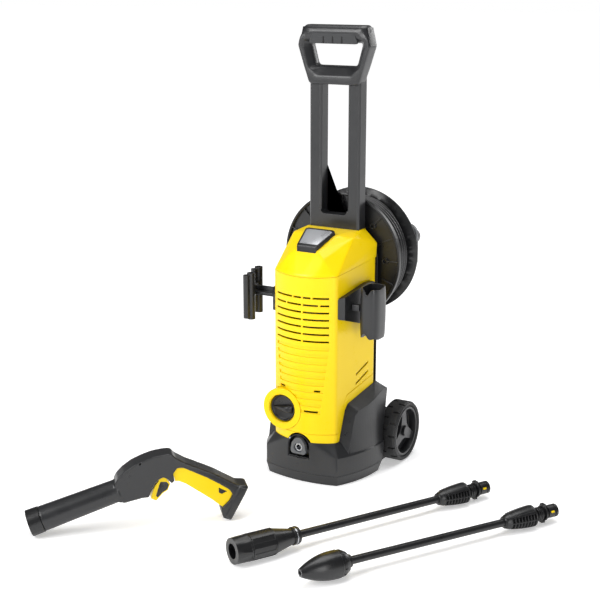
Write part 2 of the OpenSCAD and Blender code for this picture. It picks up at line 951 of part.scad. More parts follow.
module tread_half() {
    x0 = wheel_face_x - wheel_w;
    inner = wheel_r - 8;
    blocks = 15;
    color(black) difference() {
        turned_x(wheel_y, wheel_r) polygon([
            [inner, x0], [wheel_r - 3, x0], [wheel_r, x0 + 3], [wheel_r, wheel_face_x - 4],
            [wheel_r - 3, wheel_face_x], [inner, wheel_face_x - 2]
        ]);
        translate([0, wheel_y, wheel_r]) for (i = [0:blocks - 1]) {
            rotate([360 * i / blocks, 0, 0])
                translate([x0 - 1, -2, wheel_r - 3]) cube([wheel_w / 2 - 2, 4, 6]);
            rotate([360 * (i + 0.5) / blocks, 0, 0])
                translate([x0 + wheel_w / 2 + 3, -2, wheel_r - 3]) cube([wheel_w / 2, 4, 6]);
        }
    }
}

module wheel_right() {
    rim_half();
}

module wheel_left() {
    mirror([1, 0, 0]) rim_half();
}

module tread_right() {
    tread_half();
}

module tread_left() {
    mirror([1, 0, 0]) tread_half();
}

// ---- holders on the sides ----

// A side outline carried outwards from the sloping side of the body
module on_side(out, thick) {
    translate([corner_half + out, -87, 0]) rotate([0, 0, -side_lean])
        translate([0, 87, 0]) across(0, thick) children();
}

module holder_plate_outline() {
    offset(r = 6, $fn = 48) offset(delta = -6)
        polygon([
            [-86, 320], [-76, 318], [-20, 300], [22, 300], [22, 374], [-4, 374], [-74, 361],
            [-86, 358]
        ]);
}

// A pad with a slanted front face
module holder_plate() {
    intersection() {
        on_side(plate_gap, plate_t) holder_plate_outline();
        translate([0, 0, 290]) linear_extrude(100)
            polygon([[50, -100], [64, -87], [77, -76], [90, 30], [50, 30]]);
    }
}

module gun_holder_plate() {
    color(black) holder_plate();
}

module lance_holder_plate() {
    color(black) mirror([1, 0, 0]) holder_plate();
}

// Everything on the body's side of the plates' outer face
module plate_room() {
    translate([0, 0, 250]) linear_extrude(150)
        polygon([[0, -100], [64 + fit, -87], [77 + fit, -76], [84 + fit, -20], [90, 30], [0, 30]]);
}

module pocket_plan(grow) {
    offset(delta = grow) union() {
        translate([pocket_x[0] + 14, pocket_y[0] + 14]) circle(r = 14, $fn = 64);
        offset(r = 3, $fn = 48) offset(delta = -3) polygon([
            [pocket_x[0], pocket_y[0] + 14], [pocket_x[0] + 14, pocket_y[0]],
            [pocket_x[1], pocket_y[0]], [pocket_x[1], pocket_y[1]], [pocket_x[0], pocket_y[1]]
        ]);
    }
}

module gun_holder() {
    y_in = pocket_y[0] + 12;
    color(anthracite) difference() {
        union() {
            translate([0, 0, pocket_z[0]]) linear_extrude(pocket_z[1] - pocket_z[0]) difference() {
                pocket_plan(0);
                pocket_plan(-pocket_wall);
            }
            difference() {
                block(72, pocket_x[0] + 6, -59, -46, 333, 345);
                plate_room();
                translate([0, 0, 300]) linear_extrude(80) pocket_plan(-pocket_wall);
            }
        }
        along(-100, y_in) polygon([
            [90, 380], [90, 374], [98, 367], [108, 364.6], [119, 364.6], [126, 370], [129, 380]
        ]);
        along(-100, y_in) polygon([
            [90, 280], [90, 292], [98, 292], [106, 295], [116, 295], [126, 288], [131, 280]
        ]);
        across(pocket_x[1] - 6, pocket_x[1] + 10)
            polygon([[-64, 276], [-64, 289], [-52, 285], [-6, 280], [-6, 276]]);
        across(pocket_x[1] - 6, pocket_x[1] + 10)
            polygon([[-64, 381], [-64, 375], [-30, 373], [-14, 375], [-8, 372], [-6, 381]]);
    }
}

// Two pairs of tubes that hold the lances
module lance_holder() {
    web_z = [327, 348];
    mid = [-147, -29];
    color(anthracite) difference() {
        union() {
            for (t = tube_main) {
                rod_z(t[0], t[1], tube_z[0], tube_z[1], tube_main_r);
                rod_z(t[0] + tube_step[0], t[1] + tube_step[1], tube_z[0] + 3, tube_z[1] - 3, 6.4);
            }
            translate([0, 0, web_z[0]]) linear_extrude(web_z[1] - web_z[0])
                polygon([
                    tube_main[0] + [-1.5, 0], tube_main[0] + [2, 0],
                    tube_main[1] + [2, 0], tube_main[1] + [-1.5, 0]
                ]);
            difference() {
                union() {
                    block(mid[0], -70, mid[1] - 13, mid[1] + 13, 335, 338);
                    block(mid[0], -70, mid[1] - 2, mid[1] + 2, web_z[0] + 2, web_z[1]);
                }
                mirror([1, 0, 0]) plate_room();
            }
        }
        for (t = tube_main) {
            rod_z(t[0], t[1], tube_z[0] + 6, tube_z[1] + 1, tube_bore_r);
            rod_z(t[0] + tube_step[0], t[1] + tube_step[1], tube_z[0] + 9, tube_z[1] + 1, 3.6);
        }
    }
}

// ---- handle ----

module post_plan() {
    bevel = 4;
    polygon([
        [post_in, frame_y0 + bevel], [post_in + bevel, frame_y0], [frame_half - bevel, frame_y0],
        [frame_half, frame_y0 + bevel], [frame_half, frame_y1], [post_in, frame_y1]
    ]);
}

module handle_frame() {
    bar_z0 = 452;
    window_z = 491.5;
    back_wall = frame_y0 + 3.2;
    color(anthracite) difference() {
        union() {
            both_sides() translate([0, 0, frame_z0]) linear_extrude(grip_z0 + 22 - frame_z0) post_plan();
            along(frame_y0, frame_y1) difference() {
                translate([-post_in - 4, bar_z0]) square([2 * post_in + 8, window_z + 8 - bar_z0]);
                offset(r = 8, $fn = 48) offset(delta = -8)
                    translate([-post_in, window_z]) square([2 * post_in, 60]);
            }
        }
        both_sides() for (z = [frame_z0 + 6:46:690])
            block(post_in + 3.2, frame_half - 3.2, back_wall, frame_y1 + 1, z, z + 43);
        block(-post_in + 3, post_in - 3, back_wall, frame_y1 + 1, bar_z0 + 3, window_z - 4);
    }
}

module grip_outline() {
    offset(r = 9, $fn = 48) offset(delta = -9) polygon([
        [-51, grip_z0], [51, grip_z0], [56, 748], [74.2, 803], [65.5, handle_top],
        [-65.5, handle_top], [-74.2, 803], [-56, 748]
    ]);
}

module grip_window_outline(grow) {
    offset(r = 9 + grow, $fn = 48) offset(delta = -9) polygon([
        [-43, grip_window[0]], [43, grip_window[0]], [53, grip_window[1] - 4],
        [52, grip_window[1]], [-52, grip_window[1]], [-53, grip_window[1] - 4]
    ]);
}

// Soft pad on the front of the top bar
module finger_pad() {
    polygon([[-50, 804], [-42, 824], [42, 824], [50, 804]]);
}

module handle_grip() {
    bevel = 5;
    back = 12;
    color(anthracite) difference() {
        union() {
            along(grip_y0 + bevel, grip_y1 - bevel) grip_outline();
            along(grip_y0, grip_y1) offset(delta = -bevel) grip_outline();
            along(grip_y0 - 0.6, grip_y0 + 1) finger_pad();
        }
        along(grip_y0 - 1, grip_y1 + 1) grip_window_outline(0);
        along(grip_y0 - 1, grip_y0 + bevel) grip_window_outline(4);
        along(grip_y1 - back, grip_y1 + 1)
            polygon([[-46, grip_z0 + 6], [46, grip_z0 + 6], [49, 757], [-49, 757]]);
        both_sides() block(post_in - fit, frame_half + fit, frame_y0 - fit, frame_y1 + 1,
            grip_z0 - 1, grip_z0 + 22);
        for (i = [-1:1])
            rod_z(i * 15, grip_y0 - 3.2, 804, 822, 4);
    }
}

// ---- hose reel ----

module reel_spindle() {
    color(anthracite) difference() {
        union() {
            rod_y(0, reel_z, 48.7, 51, 34);
            rod_y(0, reel_z, 51 - eps, reel_back_y - 6, spindle_r);
        }
        rod_y(0, reel_z, 40, 150, 8);
    }
}

module reel_front_flange() {
    ribs = 16;
    boss_r = 92;
    color(black) difference() {
        union() {
            turned_y(0, reel_z) polygon([
                [spindle_r + 14, reel_web_y], [reel_r - 5, reel_web_y], [reel_r - 5, reel_y0 + 1],
                [reel_r - 3.4, reel_y0], [reel_r, reel_y0 + 0.6], [reel_r, reel_web_y + 2.5],
                [spindle_r + 14, reel_web_y + 2.5]
            ]);
            turned_y(0, reel_z) translate([spindle_r + fit, reel_y0]) square([16, 8.1]);
            for (i = [0:ribs - 1])
                translate([0, 0, reel_z]) rotate([0, 360 * i / ribs, 0])
                    block(boss_r, reel_r - 4, reel_y0 + 1.4, reel_web_y + eps, -0.9, 0.9);
            for (i = [0:ribs / 2 - 1])
                translate([0, 0, reel_z]) rotate([0, 360 * 2 * i / ribs, 0])
                    rod_y(boss_r, 0, reel_y0 + 0.8, reel_web_y + eps, 5.6);
            turned_y(0, reel_z) translate([48, reel_y0 + 2]) square([2, 4.5 + eps]);
        }
        for (i = [0:ribs / 2 - 1])
            translate([0, 0, reel_z]) rotate([0, 360 * 2 * i / ribs, 0])
                rod_y(boss_r, 0, reel_y0 - 1, reel_web_y + 1, 3.8);
    }
}

module reel_drum() {
    color(black) turned_y(0, reel_z) difference() {
        translate([spindle_r + fit, reel_drum_y0]) square([reel_drum_r - spindle_r - fit,
            reel_drum_y1 - reel_drum_y0]);
        translate([spindle_r + 6, reel_drum_y0 + 3]) square([reel_drum_r - spindle_r - 9,
            reel_drum_y1 - reel_drum_y0]);
    }
}

// The wound hose, two layers deep, with the outer turns showing
module hose_winding() {
    r0 = reel_drum_r + 0.1;
    layer = hose_d * 0.93;
    color(black) turned_y(0, reel_z) {
        translate([r0, reel_drum_y0 + 0.3]) square([layer + hose_d / 2, hose_turns * hose_d]);
        for (i = [0:hose_turns - 1])
            translate([r0 + layer + hose_d / 2, reel_drum_y0 + 0.3 + hose_d * (i + 0.5)])
                circle(r = hose_d / 2, $fn = 40);
    }
}

module reel_rear_flange() {
    y0 = reel_drum_y1;
    color(black) difference() {
        turned_y(0, reel_z) polygon([
            [spindle_r + fit, y0], [reel_drum_r + 14, y0], [reel_r, y0 + 8], [reel_r, y0 + 11],
            [reel_drum_r + 12, y0 + 3.5], [48, y0 + 3.5], [34, reel_back_y - 4],
            [spindle_r + fit, reel_back_y - 4]
        ]);
        for (i = [0:7])
            translate([0, 0, reel_z]) rotate([0, 45 * i + 22.5, 0])
                rod_y(72, 0, y0 - 1, y0 + 5, 9);
    }
}

module crank_arm() {
    color(grey) translate([0, 0, reel_z]) difference() {
        union() {
            along(crank_y0, crank_y0 + 9) hull() {
                circle(r = 22, $fn = 64);
                for (z = [-14, 38]) translate([crank_at[0] + 6, z]) circle(r = 20, $fn = 64);
            }
            rod_y(0, 0, reel_back_y - 4, crank_y0 + eps, 18);
            rod_y(crank_at[0], crank_at[1], crank_y0, crank_y0 + 38, 6);
            rod_y(crank_at[0], crank_at[1], crank_y0 + 38 - eps, crank_y0 + 40, 8.5);
        }
        along(crank_y0 + 5, crank_y0 + 10) difference() {
            offset(r = 3, $fn = 32) polygon([[20, -8], [62, 2], [62, 32], [14, 18]]);
            translate([38, 0]) square([2, 60]);
        }
        rod_y(0, 0, reel_back_y - 8, reel_back_y, 9);
    }
}

module crank_knob() {
    color(anthracite) translate([0, 0, reel_z]) difference() {
        translate([crank_at[0], 0, crank_at[1]]) rotate([-90, 0, 0]) rotate_extrude($fn = round_fn)
            polygon([
                [0, crank_y0 + 10], [17, crank_y0 + 10], [15, crank_y0 + 16], [16, crank_y0 + 34],
                [14, crank_y0 + 45], [8, crank_y0 + 48], [0, crank_y0 + 48]
            ]);
        rod_y(crank_at[0], crank_at[1], crank_y0, crank_y0 + 37, 6 + fit);
        rod_y(crank_at[0], crank_at[1], crank_y0 + 37, crank_y0 + 42, 9);
    }
}

// ---- trigger gun ----

module gun_frame() {
    translate([gun_at[0], gun_at[1], 0]) rotate([0, 0, gun_turn]) children();
}

// An outline in the gun's own plane, carried across its thickness
module gun_slab(y0, y1) {
    translate([0, y1, 0]) rotate([90, 0, 0]) linear_extrude(y1 - y0) children();
}

module barrel_frame() {
    translate([0, 0, muzzle_z]) rotate([0, -barrel_rise, 0]) rotate([0, 90, 0]) children();
}

module gun_body_outline() {
    polygon([
        [146, 54], [162, 51], [192, 57], [203, 57], [207, 66], [212, 79], [220, 88],
        [229, 92], [237, 87], [243, 79], [248, 84], [246, 97], [253, 106.5], [264, 106],
        [276, 99.5], [303, 85], [319, 75], [333, 65.5], [343, 58], [348.5, 49.5], [344, 39],
        [333, 27.5], [328, 22], [331.5, 6], [345.6, 0.3], [358, 24], [371, 48], [377, 60],
        [374, 64.5], [366, 65], [357, 66.5], [317, 91], [268, 115], [251, 126], [246, 132],
        [240, 134], [228, 133.5], [211, 131], [193, 125], [177, 118], [162, 108],
        [151, 97], [146, 88]
    ]);
}

module trigger_outline() {
    polygon([
        [237, 107], [242, 112.5], [249, 112], [255, 107.8], [264, 107], [276, 100.5], [303, 86],
        [319, 76], [333, 66.5], [343, 59], [349, 50], [343, 38], [331, 26.5], [327, 29.6],
        [314, 41.3], [298.4, 53.2], [281.2, 66], [267.5, 76.1], [255.5, 82.1], [249, 82.5],
        [247.2, 91.6], [240, 100]
    ]);
}

module release_outline() {
    polygon([
        [221.5, 83], [223, 101], [235, 101], [236, 84], [241, 76], [236.5, 65], [228, 60],
        [216, 47], [207, 52], [210, 64], [214.5, 74.5]
    ]);
}

module turn_in_plane(pivot, a) {
    translate(pivot) rotate(a) translate(-pivot) children();
}

// What the trigger and the release lever sweep, with room round them
module gun_sweeps() {
    gun_slab(-cavity_half, cavity_half) offset(delta = 0.8) for (a = [0:trigger_travel / 3:trigger_travel])
        turn_in_plane(trigger_pivot, a) trigger_outline();
    gun_slab(-release_half - 0.5, release_half + 0.5)
        offset(delta = 0.8) for (a = [0:release_travel / 2:release_travel])
            turn_in_plane(release_pivot, a) release_outline();
}

module gun_shell(side) {
    y0 = side > 0 ? fit : -gun_half;
    y1 = side > 0 ? gun_half : -fit;
    color(anthracite) gun_frame() difference() {
        union() {
            gun_slab(y0, y1) gun_body_outline();
            intersection() {
                barrel_frame() translate([0, 0, 22]) cylinder(h = 138, r1 = 22.2, r2 = 20, $fn = round_fn);
                translate([0, side > 0 ? fit : -60, -10]) cube([400, 60 - fit, 300]);
            }
            gun_slab(side > 0 ? gun_half - eps : -20.5, side > 0 ? 20.5 : -gun_half + eps)
                polygon([[336, 10], [345, 3], [357, 24], [370, 48], [375.5, 60], [362, 64], [352, 46]]);
        }
        barrel_frame() translate([0, 0, 10]) cylinder(h = 150, r = 17, $fn = round_fn);
        gun_slab(-gun_half + 3, gun_half - 3) offset(delta = -3) polygon([
            [170, 56], [193, 60], [205, 84], [222, 96], [241, 100], [248, 123], [240, 130],
            [211, 127], [177, 114], [158, 98]
        ]);
        gun_sweeps();
        gun_slab(-gun_half - 1, gun_half + 1) translate([190, 120]) circle(r = 2, $fn = small_fn);
    }
    color(anthracite) gun_frame() {
        pin_y0 = side > 0 ? fit : -gun_half + 1;
        pin_y1 = side > 0 ? gun_half - 1 : -fit;
        gun_slab(pin_y0, pin_y1) translate(trigger_pivot) circle(r = pin_r, $fn = small_fn);
        gun_slab(pin_y0, pin_y1) translate(release_pivot) circle(r = small_pin_r, $fn = small_fn);
    }
}

module gun_shell_left() {
    gun_shell(1);
}

module gun_shell_right() {
    gun_shell(-1);
}

// Bayonet socket that the lances lock into
module gun_socket() {
    color(black) gun_frame() barrel_frame() difference() {
        union() {
            cylinder(h = 22, r1 = muzzle_r, r2 = muzzle_r - 0.5, $fn = round_fn);
            translate([0, 0, 22 - eps]) cylinder(h = 18, r = 17 - fit, $fn = round_fn);
        }
        translate([0, 0, -1]) cylinder(h = 13, r = 18.5, $fn = round_fn);
        translate([0, 0, -1]) cylinder(h = 34, r = socket_bore_r, $fn = round_fn);
        translate([-4, -16, 5]) cube([8, 32, 6]);
        translate([14, -4, 15]) cube([20, 8, 6]);
    }
}

module gun_valve() {
    color(brass) gun_frame() barrel_frame() difference() {
        union() {
            translate([0, 0, 40]) cylinder(h = 100, r = 6, $fn = round_fn);
            translate([0, 0, 100]) cylinder(h = 44, r = 12, $fn = round_fn);
        }
        translate([0, 0, 30]) cylinder(h = 100, r = 3.5, $fn = round_fn);
    }
}

module gun_trigger() {
    color(yellow) gun_frame() difference() {
        gun_slab(-trigger_half, trigger_half) trigger_outline();
        gun_slab(-20, 20) translate(trigger_pivot) circle(r = pin_r + fit, $fn = small_fn);
        gun_slab(-20, 20) lock_outline(0.15);
        gun_slab(-trigger_half + 2.5, trigger_half - 2.5)
            polygon([[262, 90], [266, 101], [302, 81], [318, 70], [312, 52], [296, 64], [280, 76]]);
    }
}

module lock_outline(grow) {
    offset(delta = grow) polygon([[325, 63], [339, 55], [330, 51], [325, 54]]);
}

module gun_lock() {
    color(black) gun_frame()
        gun_slab(-trigger_half, trigger_half - lock_travel) lock_outline(0);
}

module gun_release() {
    color(yellow) gun_frame() difference() {
        gun_slab(-release_half, release_half) release_outline();
        gun_slab(-20, 20) translate(release_pivot) circle(r = small_pin_r + fit, $fn = small_fn);
    }
}

// ---- lances: each one is drawn along its own axis from its front end ----

module vario_frame() {
    translate(vario_at) rotate([0, vario_fall, vario_turn]) rotate([0, 90, 0]) children();
}

module jet_frame() {
    translate(jet_at) rotate([0, jet_fall, jet_turn]) rotate([0, 90, 0]) children();
}

// A tube with its bayonet end: collar rings, two locking lugs and a nipple with a seal groove
module lance_core(x0, end) {
    nipple_z = end - nipple_len;
    difference() {
        union() {
            translate([0, 0, x0]) cylinder(h = end - shank_len - x0 + eps, r = tube_r, $fn = round_fn);
            translate([0, 0, end - shank_len]) cylinder(h = shank_len - 1, r = 8, $fn = round_fn);
            for (i = [0:2])
                translate([0, 0, end - shank_len + 3 + 4 * i]) cylinder(h = 2.2, r = 12, $fn = round_fn);
            translate([-17, -4.5, nipple_z - 11]) cube([34, 9, 7]);
            translate([0, 0, nipple_z - 8]) cylinder(h = 3, r = 14, $fn = round_fn);
            translate([0, 0, nipple_z]) cylinder(h = nipple_len, r = nipple_r, $fn = round_fn);
        }
        translate([0, 0, x0 - 1]) cylinder(h = end - x0 + 2, r = 3, $fn = small_fn);
        translate([0, 0, end - 7]) difference() {
            cylinder(h = 2.4, r = nipple_r + 1, $fn = round_fn);
            translate([0, 0, -1]) cylinder(h = 5, r = nipple_r - 1.6, $fn = round_fn);
        }
    }
}

// The caged grip: a tapering core, side ribs like a cage, and a smooth back
module lance_cage(end) {
    n = 10;
    z0 = end - shank_len - 1 - cage_len;
    step = (cage_len - 16) / n;
    difference() {
        union() {
            translate([0, 0, z0]) cylinder(h = cage_len, r1 = 9, r2 = 11, $fn = round_fn);
            for (i = [0:n])
                translate([0, 0, z0 + 12 + i * step])
                    cylinder(h = 2.2, r = 13.5 + 5.6 * sin(10 + 80 * i / n), $fn = round_fn);
            for (a = [0, 45, 135, 180])
                rotate([0, 0, a + 90]) translate([-1.3, 0, z0 + 4]) rotate([90, 0, 90])
                    linear_extrude(2.6)
                        polygon([[8, 0], [13.8, 9], [17, 30], [18.6, cage_len - 6], [8, cage_len - 6]]);
            intersection() {
                translate([0, 0, z0 + 4]) cylinder(h = cage_len - 6, r1 = 12, r2 = 19.4, $fn = round_fn);
                translate([-40, -14, z0]) cube([34, 28, cage_len]);
            }
        }
        translate([0, 0, z0 - 1]) cylinder(h = cage_len + 2, r = tube_r + fit, $fn = round_fn);
    }
}

module vario_lance() {
    color(black) vario_frame() union() {
        lance_core(vario_hub_z0, vario_len);
        translate([0, 0, vario_hub_z0]) difference() {
            cylinder(h = 58, r = 10, $fn = round_fn);
            translate([0, 0, -1]) cylinder(h = 60, r = tube_r - 1, $fn = round_fn);
        }
    }
}

module vario_grip() {
    color(black) vario_frame() lance_cage(vario_len);
}

// Turning head with flats, a deep front mouth and collar rings at its neck
module vario_head() {
    nose = 26;
    body_end = 74;
    taper_end = 108;
    head_len = 124;
    neck_r = 14;
    color(black) vario_frame() difference() {
        union() {
            intersection() {
                cylinder(h = nose, r1 = vario_r - 1, r2 = vario_r, $fn = round_fn);
                cylinder(h = nose, r = vario_r + 1, $fn = 8);
            }
            translate([0, 0, nose - eps])
                cylinder(h = body_end - nose, r = vario_r, $fn = round_fn);
            translate([0, 0, body_end - 2 * eps])
                cylinder(h = taper_end - body_end, r1 = vario_r - 1, r2 = neck_r, $fn = round_fn);
            translate([0, 0, taper_end - 1])
                cylinder(h = head_len - taper_end + 1, r = neck_r, $fn = round_fn);
            for (z = [taper_end + 4, head_len - 6])
                translate([0, 0, z]) cylinder(h = 3, r = neck_r + 1.5, $fn = round_fn);
        }
        translate([0, 0, -1]) cylinder(h = 39, r = 13, $fn = round_fn);
        translate([0, 0, 30]) cylinder(h = 84, r = 10 + fit, $fn = round_fn);
        translate([0, 0, taper_end]) cylinder(h = 20, r = tube_r + gap, $fn = round_fn);
        for (i = [0:7])
            rotate([0, 0, 45 * i])
                translate([vario_r - 1.2, -4.5, nose + 5]) cube([5, 9, body_end - nose - 8]);
        translate([0, 0, nose + 2]) difference() {
            cylinder(h = 1.4, r = vario_r + 2, $fn = round_fn);
            translate([0, 0, -1]) cylinder(h = 4, r = vario_r - 1.2, $fn = round_fn);
        }
    }
}

module jet_lance() {
    color(black) jet_frame() union() {
        lance_core(70, jet_len);
        translate([0, 0, 86]) cylinder(h = 5, r = 10.5, $fn = round_fn);
    }
}

module jet_grip() {
    color(black) jet_frame() lance_cage(jet_len);
}

// Bullet-shaped shell round the spinning jet, with a ribbed collar at its rear
module jet_nozzle() {
    tip_r = 8.5;
    color(black) jet_frame() difference() {
        rotate_extrude($fn = round_fn) polygon(concat(
            [[0, 0], [tip_r - 1.5, 0], [tip_r, 3]],
            [for (i = [1:10]) [tip_r + (jet_r - tip_r) * sin(9 * i), 3 + 55 * pow(i / 10, 1.1)]],
            [[jet_r, 67], [jet_r - 1, 68], [jet_r - 1, 74], [17, 83], [12, 85], [0, 85]]
        ));
        translate([0, 0, -1]) cylinder(h = 20, r = 3.6, $fn = small_fn);
        translate([0, 0, 14]) cylinder(h = 54, r = rotor_r + 1.5, $fn = round_fn);
        translate([0, 0, 62]) cylinder(h = 30, r = tube_r + fit, $fn = round_fn);
        for (i = [0:11])
            rotate([0, 0, 30 * i]) translate([jet_r - 2.2, -1.2, 70]) cube([4, 2.4, 8]);
    }
}

// The rotor that the water spins inside the nozzle
module jet_rotor() {
    color(steel) jet_frame() difference() {
        union() {
            translate([0, 0, 15]) cylinder(h = 6, r = 4.5, $fn = round_fn);
            translate([0, 0, 20]) cylinder(h = 42, r = rotor_r, $fn = round_fn);
            for (i = [0:3])
                rotate([0, 0, 90 * i]) translate([0, -0.8, 50]) cube([rotor_r + 1, 1.6, 10]);
        }
        translate([0, 0, 10]) cylinder(h = 60, r = 1.2, $fn = small_fn);
    }
}

base_plate();
base_tub();
front_housing();
rear_housing();
top_cap();
badge_plate();
badge_frame();
switch_ring();
switch_knob();
switch_box();
outlet_bezel();
outlet_socket();
outlet_release();
water_inlet();
inlet_strainer();
cable_gland();
pump_block();
pump_pistons();
piston_springs();
gear_case();
wobble_gear();
motor_stator();
motor_housing();
motor_rotor();
cooling_fan();
motor_bearings();
capacitor();
wheel_axle();
axle_caps();
wheel_left();
wheel_right();
tread_left();
tread_right();
lance_holder();
lance_holder_plate();
gun_holder();
gun_holder_plate();
handle_frame();
handle_grip();
reel_spindle();
reel_front_flange();
reel_drum();
hose_winding();
reel_rear_flange();
crank_arm();
crank_knob();
gun_shell_left();
gun_shell_right();
gun_socket();
gun_trigger();
gun_lock();
gun_release();
gun_valve();
vario_lance();
vario_grip();
vario_head();
jet_lance();
jet_grip();
jet_nozzle();
jet_rotor();
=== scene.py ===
import json
import math

import bmesh
import bpy
from mathutils import Matrix, Vector


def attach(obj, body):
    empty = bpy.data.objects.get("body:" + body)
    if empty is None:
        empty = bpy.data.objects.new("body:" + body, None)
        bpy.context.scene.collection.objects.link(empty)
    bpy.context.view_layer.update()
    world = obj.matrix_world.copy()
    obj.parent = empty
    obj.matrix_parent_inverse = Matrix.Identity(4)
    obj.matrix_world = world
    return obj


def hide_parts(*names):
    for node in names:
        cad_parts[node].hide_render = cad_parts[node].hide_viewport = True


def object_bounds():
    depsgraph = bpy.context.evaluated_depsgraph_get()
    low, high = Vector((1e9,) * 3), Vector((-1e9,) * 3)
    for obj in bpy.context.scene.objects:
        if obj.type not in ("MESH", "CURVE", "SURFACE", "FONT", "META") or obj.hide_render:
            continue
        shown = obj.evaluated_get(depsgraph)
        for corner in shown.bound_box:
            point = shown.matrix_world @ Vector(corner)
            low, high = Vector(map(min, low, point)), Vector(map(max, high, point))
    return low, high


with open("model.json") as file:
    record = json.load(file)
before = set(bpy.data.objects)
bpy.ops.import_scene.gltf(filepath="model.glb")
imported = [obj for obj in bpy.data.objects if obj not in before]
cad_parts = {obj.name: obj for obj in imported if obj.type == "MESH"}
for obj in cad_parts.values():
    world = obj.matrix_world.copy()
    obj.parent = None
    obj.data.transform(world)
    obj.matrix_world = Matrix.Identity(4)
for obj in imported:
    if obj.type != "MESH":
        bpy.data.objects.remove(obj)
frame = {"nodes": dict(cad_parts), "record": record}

CAD_BOX = [list(corner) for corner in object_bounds()]
MM = 0.001
NODES = frame["nodes"]
BODY_OF = {
    node: body
    for body, nodes in frame["record"]["behaviour"]["bodies"].items()
    for node in nodes
}
SLOT_OF = {row["node"]: row["material_slot"] for row in frame["record"]["subparts"]}

# ---- camera, floor and light ----

# Place in metres, turn from +Y and tilt below level in degrees, lens in millimetres on a 36 mm sensor
CAMERA_AT = (1.07787, -1.96946, 0.92343)
CAMERA_TURN = 30.06
CAMERA_PITCH = 14.83
CAMERA_LENS = 73.19
SENSOR_WIDTH = 36

# Name, place, point it faces, size in metres, power in watts
LIGHTS = [
    ("key", (-1.1, -2.6, 1.9), (0, 0, 0.4), (1.5, 1.7), 74),
    ("strip", (2.3, -1.9, 0.9), (0, 0, 0.5), (0.25, 1.9), 22),
    ("top", (0.0, 0.2, 3.1), (0, -0.2, 0.2), (2.2, 2.2), 62),
    ("rim", (0.9, 2.4, 1.5), (0, 0, 0.5), (0.8, 1.6), 20),
]
# How bright the surroundings are to the camera, and as light on the machine
SEEN_LEVEL = 1.0
LIT_LEVEL = 0.15
FLOOR_HALF = 30
FLOOR_DROP = 0.0002
# The floor's own glow, and the distances in metres over which it rises
GLOW_FROM, GLOW_TO = 0.5, 3.0
GLOW_NEAR, GLOW_FAR = 0.4, 0.88


def make_camera():
    data = bpy.data.cameras.new("camera")
    data.sensor_width = SENSOR_WIDTH
    data.lens = CAMERA_LENS
    camera = bpy.data.objects.new("camera", data)
    bpy.context.scene.collection.objects.link(camera)
    camera.location = CAMERA_AT
    camera.rotation_euler = (
        math.radians(90 - CAMERA_PITCH),
        0,
        math.radians(CAMERA_TURN),
    )
    bpy.context.scene.camera = camera


def area_light(name, at, target, size, power):
    data = bpy.data.lights.new(name, "AREA")
    data.shape = "RECTANGLE"
    data.size, data.size_y = size
    data.energy = power
    light = bpy.data.objects.new(name, data)
    bpy.context.scene.collection.objects.link(light)
    light.location = at
    way = Vector(target) - Vector(at)
    light.rotation_euler = way.to_track_quat("-Z", "Y").to_euler()


def fade_floor(paper):
    """The paper glows a little, and more the farther it is from the machine, so that no horizon shows."""
    tree = paper.node_tree
    here = tree.nodes.new("ShaderNodeTexCoord").outputs["Object"]
    far = tree.nodes.new("ShaderNodeVectorMath")
    far.operation = "LENGTH"
    tree.links.new(here, far.inputs[0])
    level = tree.nodes.new("ShaderNodeMapRange")
    level.interpolation_type = "SMOOTHSTEP"
    tree.links.new(far.outputs["Value"], level.inputs["Value"])
    level.inputs["From Min"].default_value = GLOW_FROM
    level.inputs["From Max"].default_value = GLOW_TO
    level.inputs["To Min"].default_value = GLOW_NEAR
    level.inputs["To Max"].default_value = GLOW_FAR
    shader = tree.nodes["Principled BSDF"]
    shader.inputs["Emission Color"].default_value = (1, 1, 1, 1)
    tree.links.new(level.outputs["Result"], shader.inputs["Emission Strength"])


def make_studio():
    bpy.context.scene.view_settings.view_transform = "Standard"
    world = bpy.data.worlds.new("studio")
    bpy.context.scene.world = world
    world.use_nodes = True
    tree = world.node_tree
    back = tree.nodes["Background"]
    back.inputs["Color"].default_value = (1, 1, 1, 1)
    seen = tree.nodes.new("ShaderNodeLightPath").outputs["Is Camera Ray"]
    level = tree.nodes.new("ShaderNodeMapRange")
    tree.links.new(seen, level.inputs["Value"])
    level.inputs["To Min"].default_value = LIT_LEVEL
    level.inputs["To Max"].default_value = SEEN_LEVEL
    tree.links.new(level.outputs["Result"], back.inputs["Strength"])
    for light in LIGHTS:
        area_light(*light)
    bm = bmesh.new()
    bmesh.ops.create_grid(bm, x_segments=1, y_segments=1, size=FLOOR_HALF)
    mesh = bpy.data.meshes.new("floor")
    bm.to_mesh(mesh)
    bm.free()
    floor = bpy.data.objects.new("floor", mesh)
    bpy.context.scene.collection.objects.link(floor)
    floor.location = (0, 0, CAD_BOX[0][2] - FLOOR_DROP)
    paper = plastic("floor_paper", (0.9, 0.9, 0.905), 0.85, grain=0.05, mottle=0.01)
    fade_floor(paper)
    mesh.materials.append(paper)


# ---- materials ----


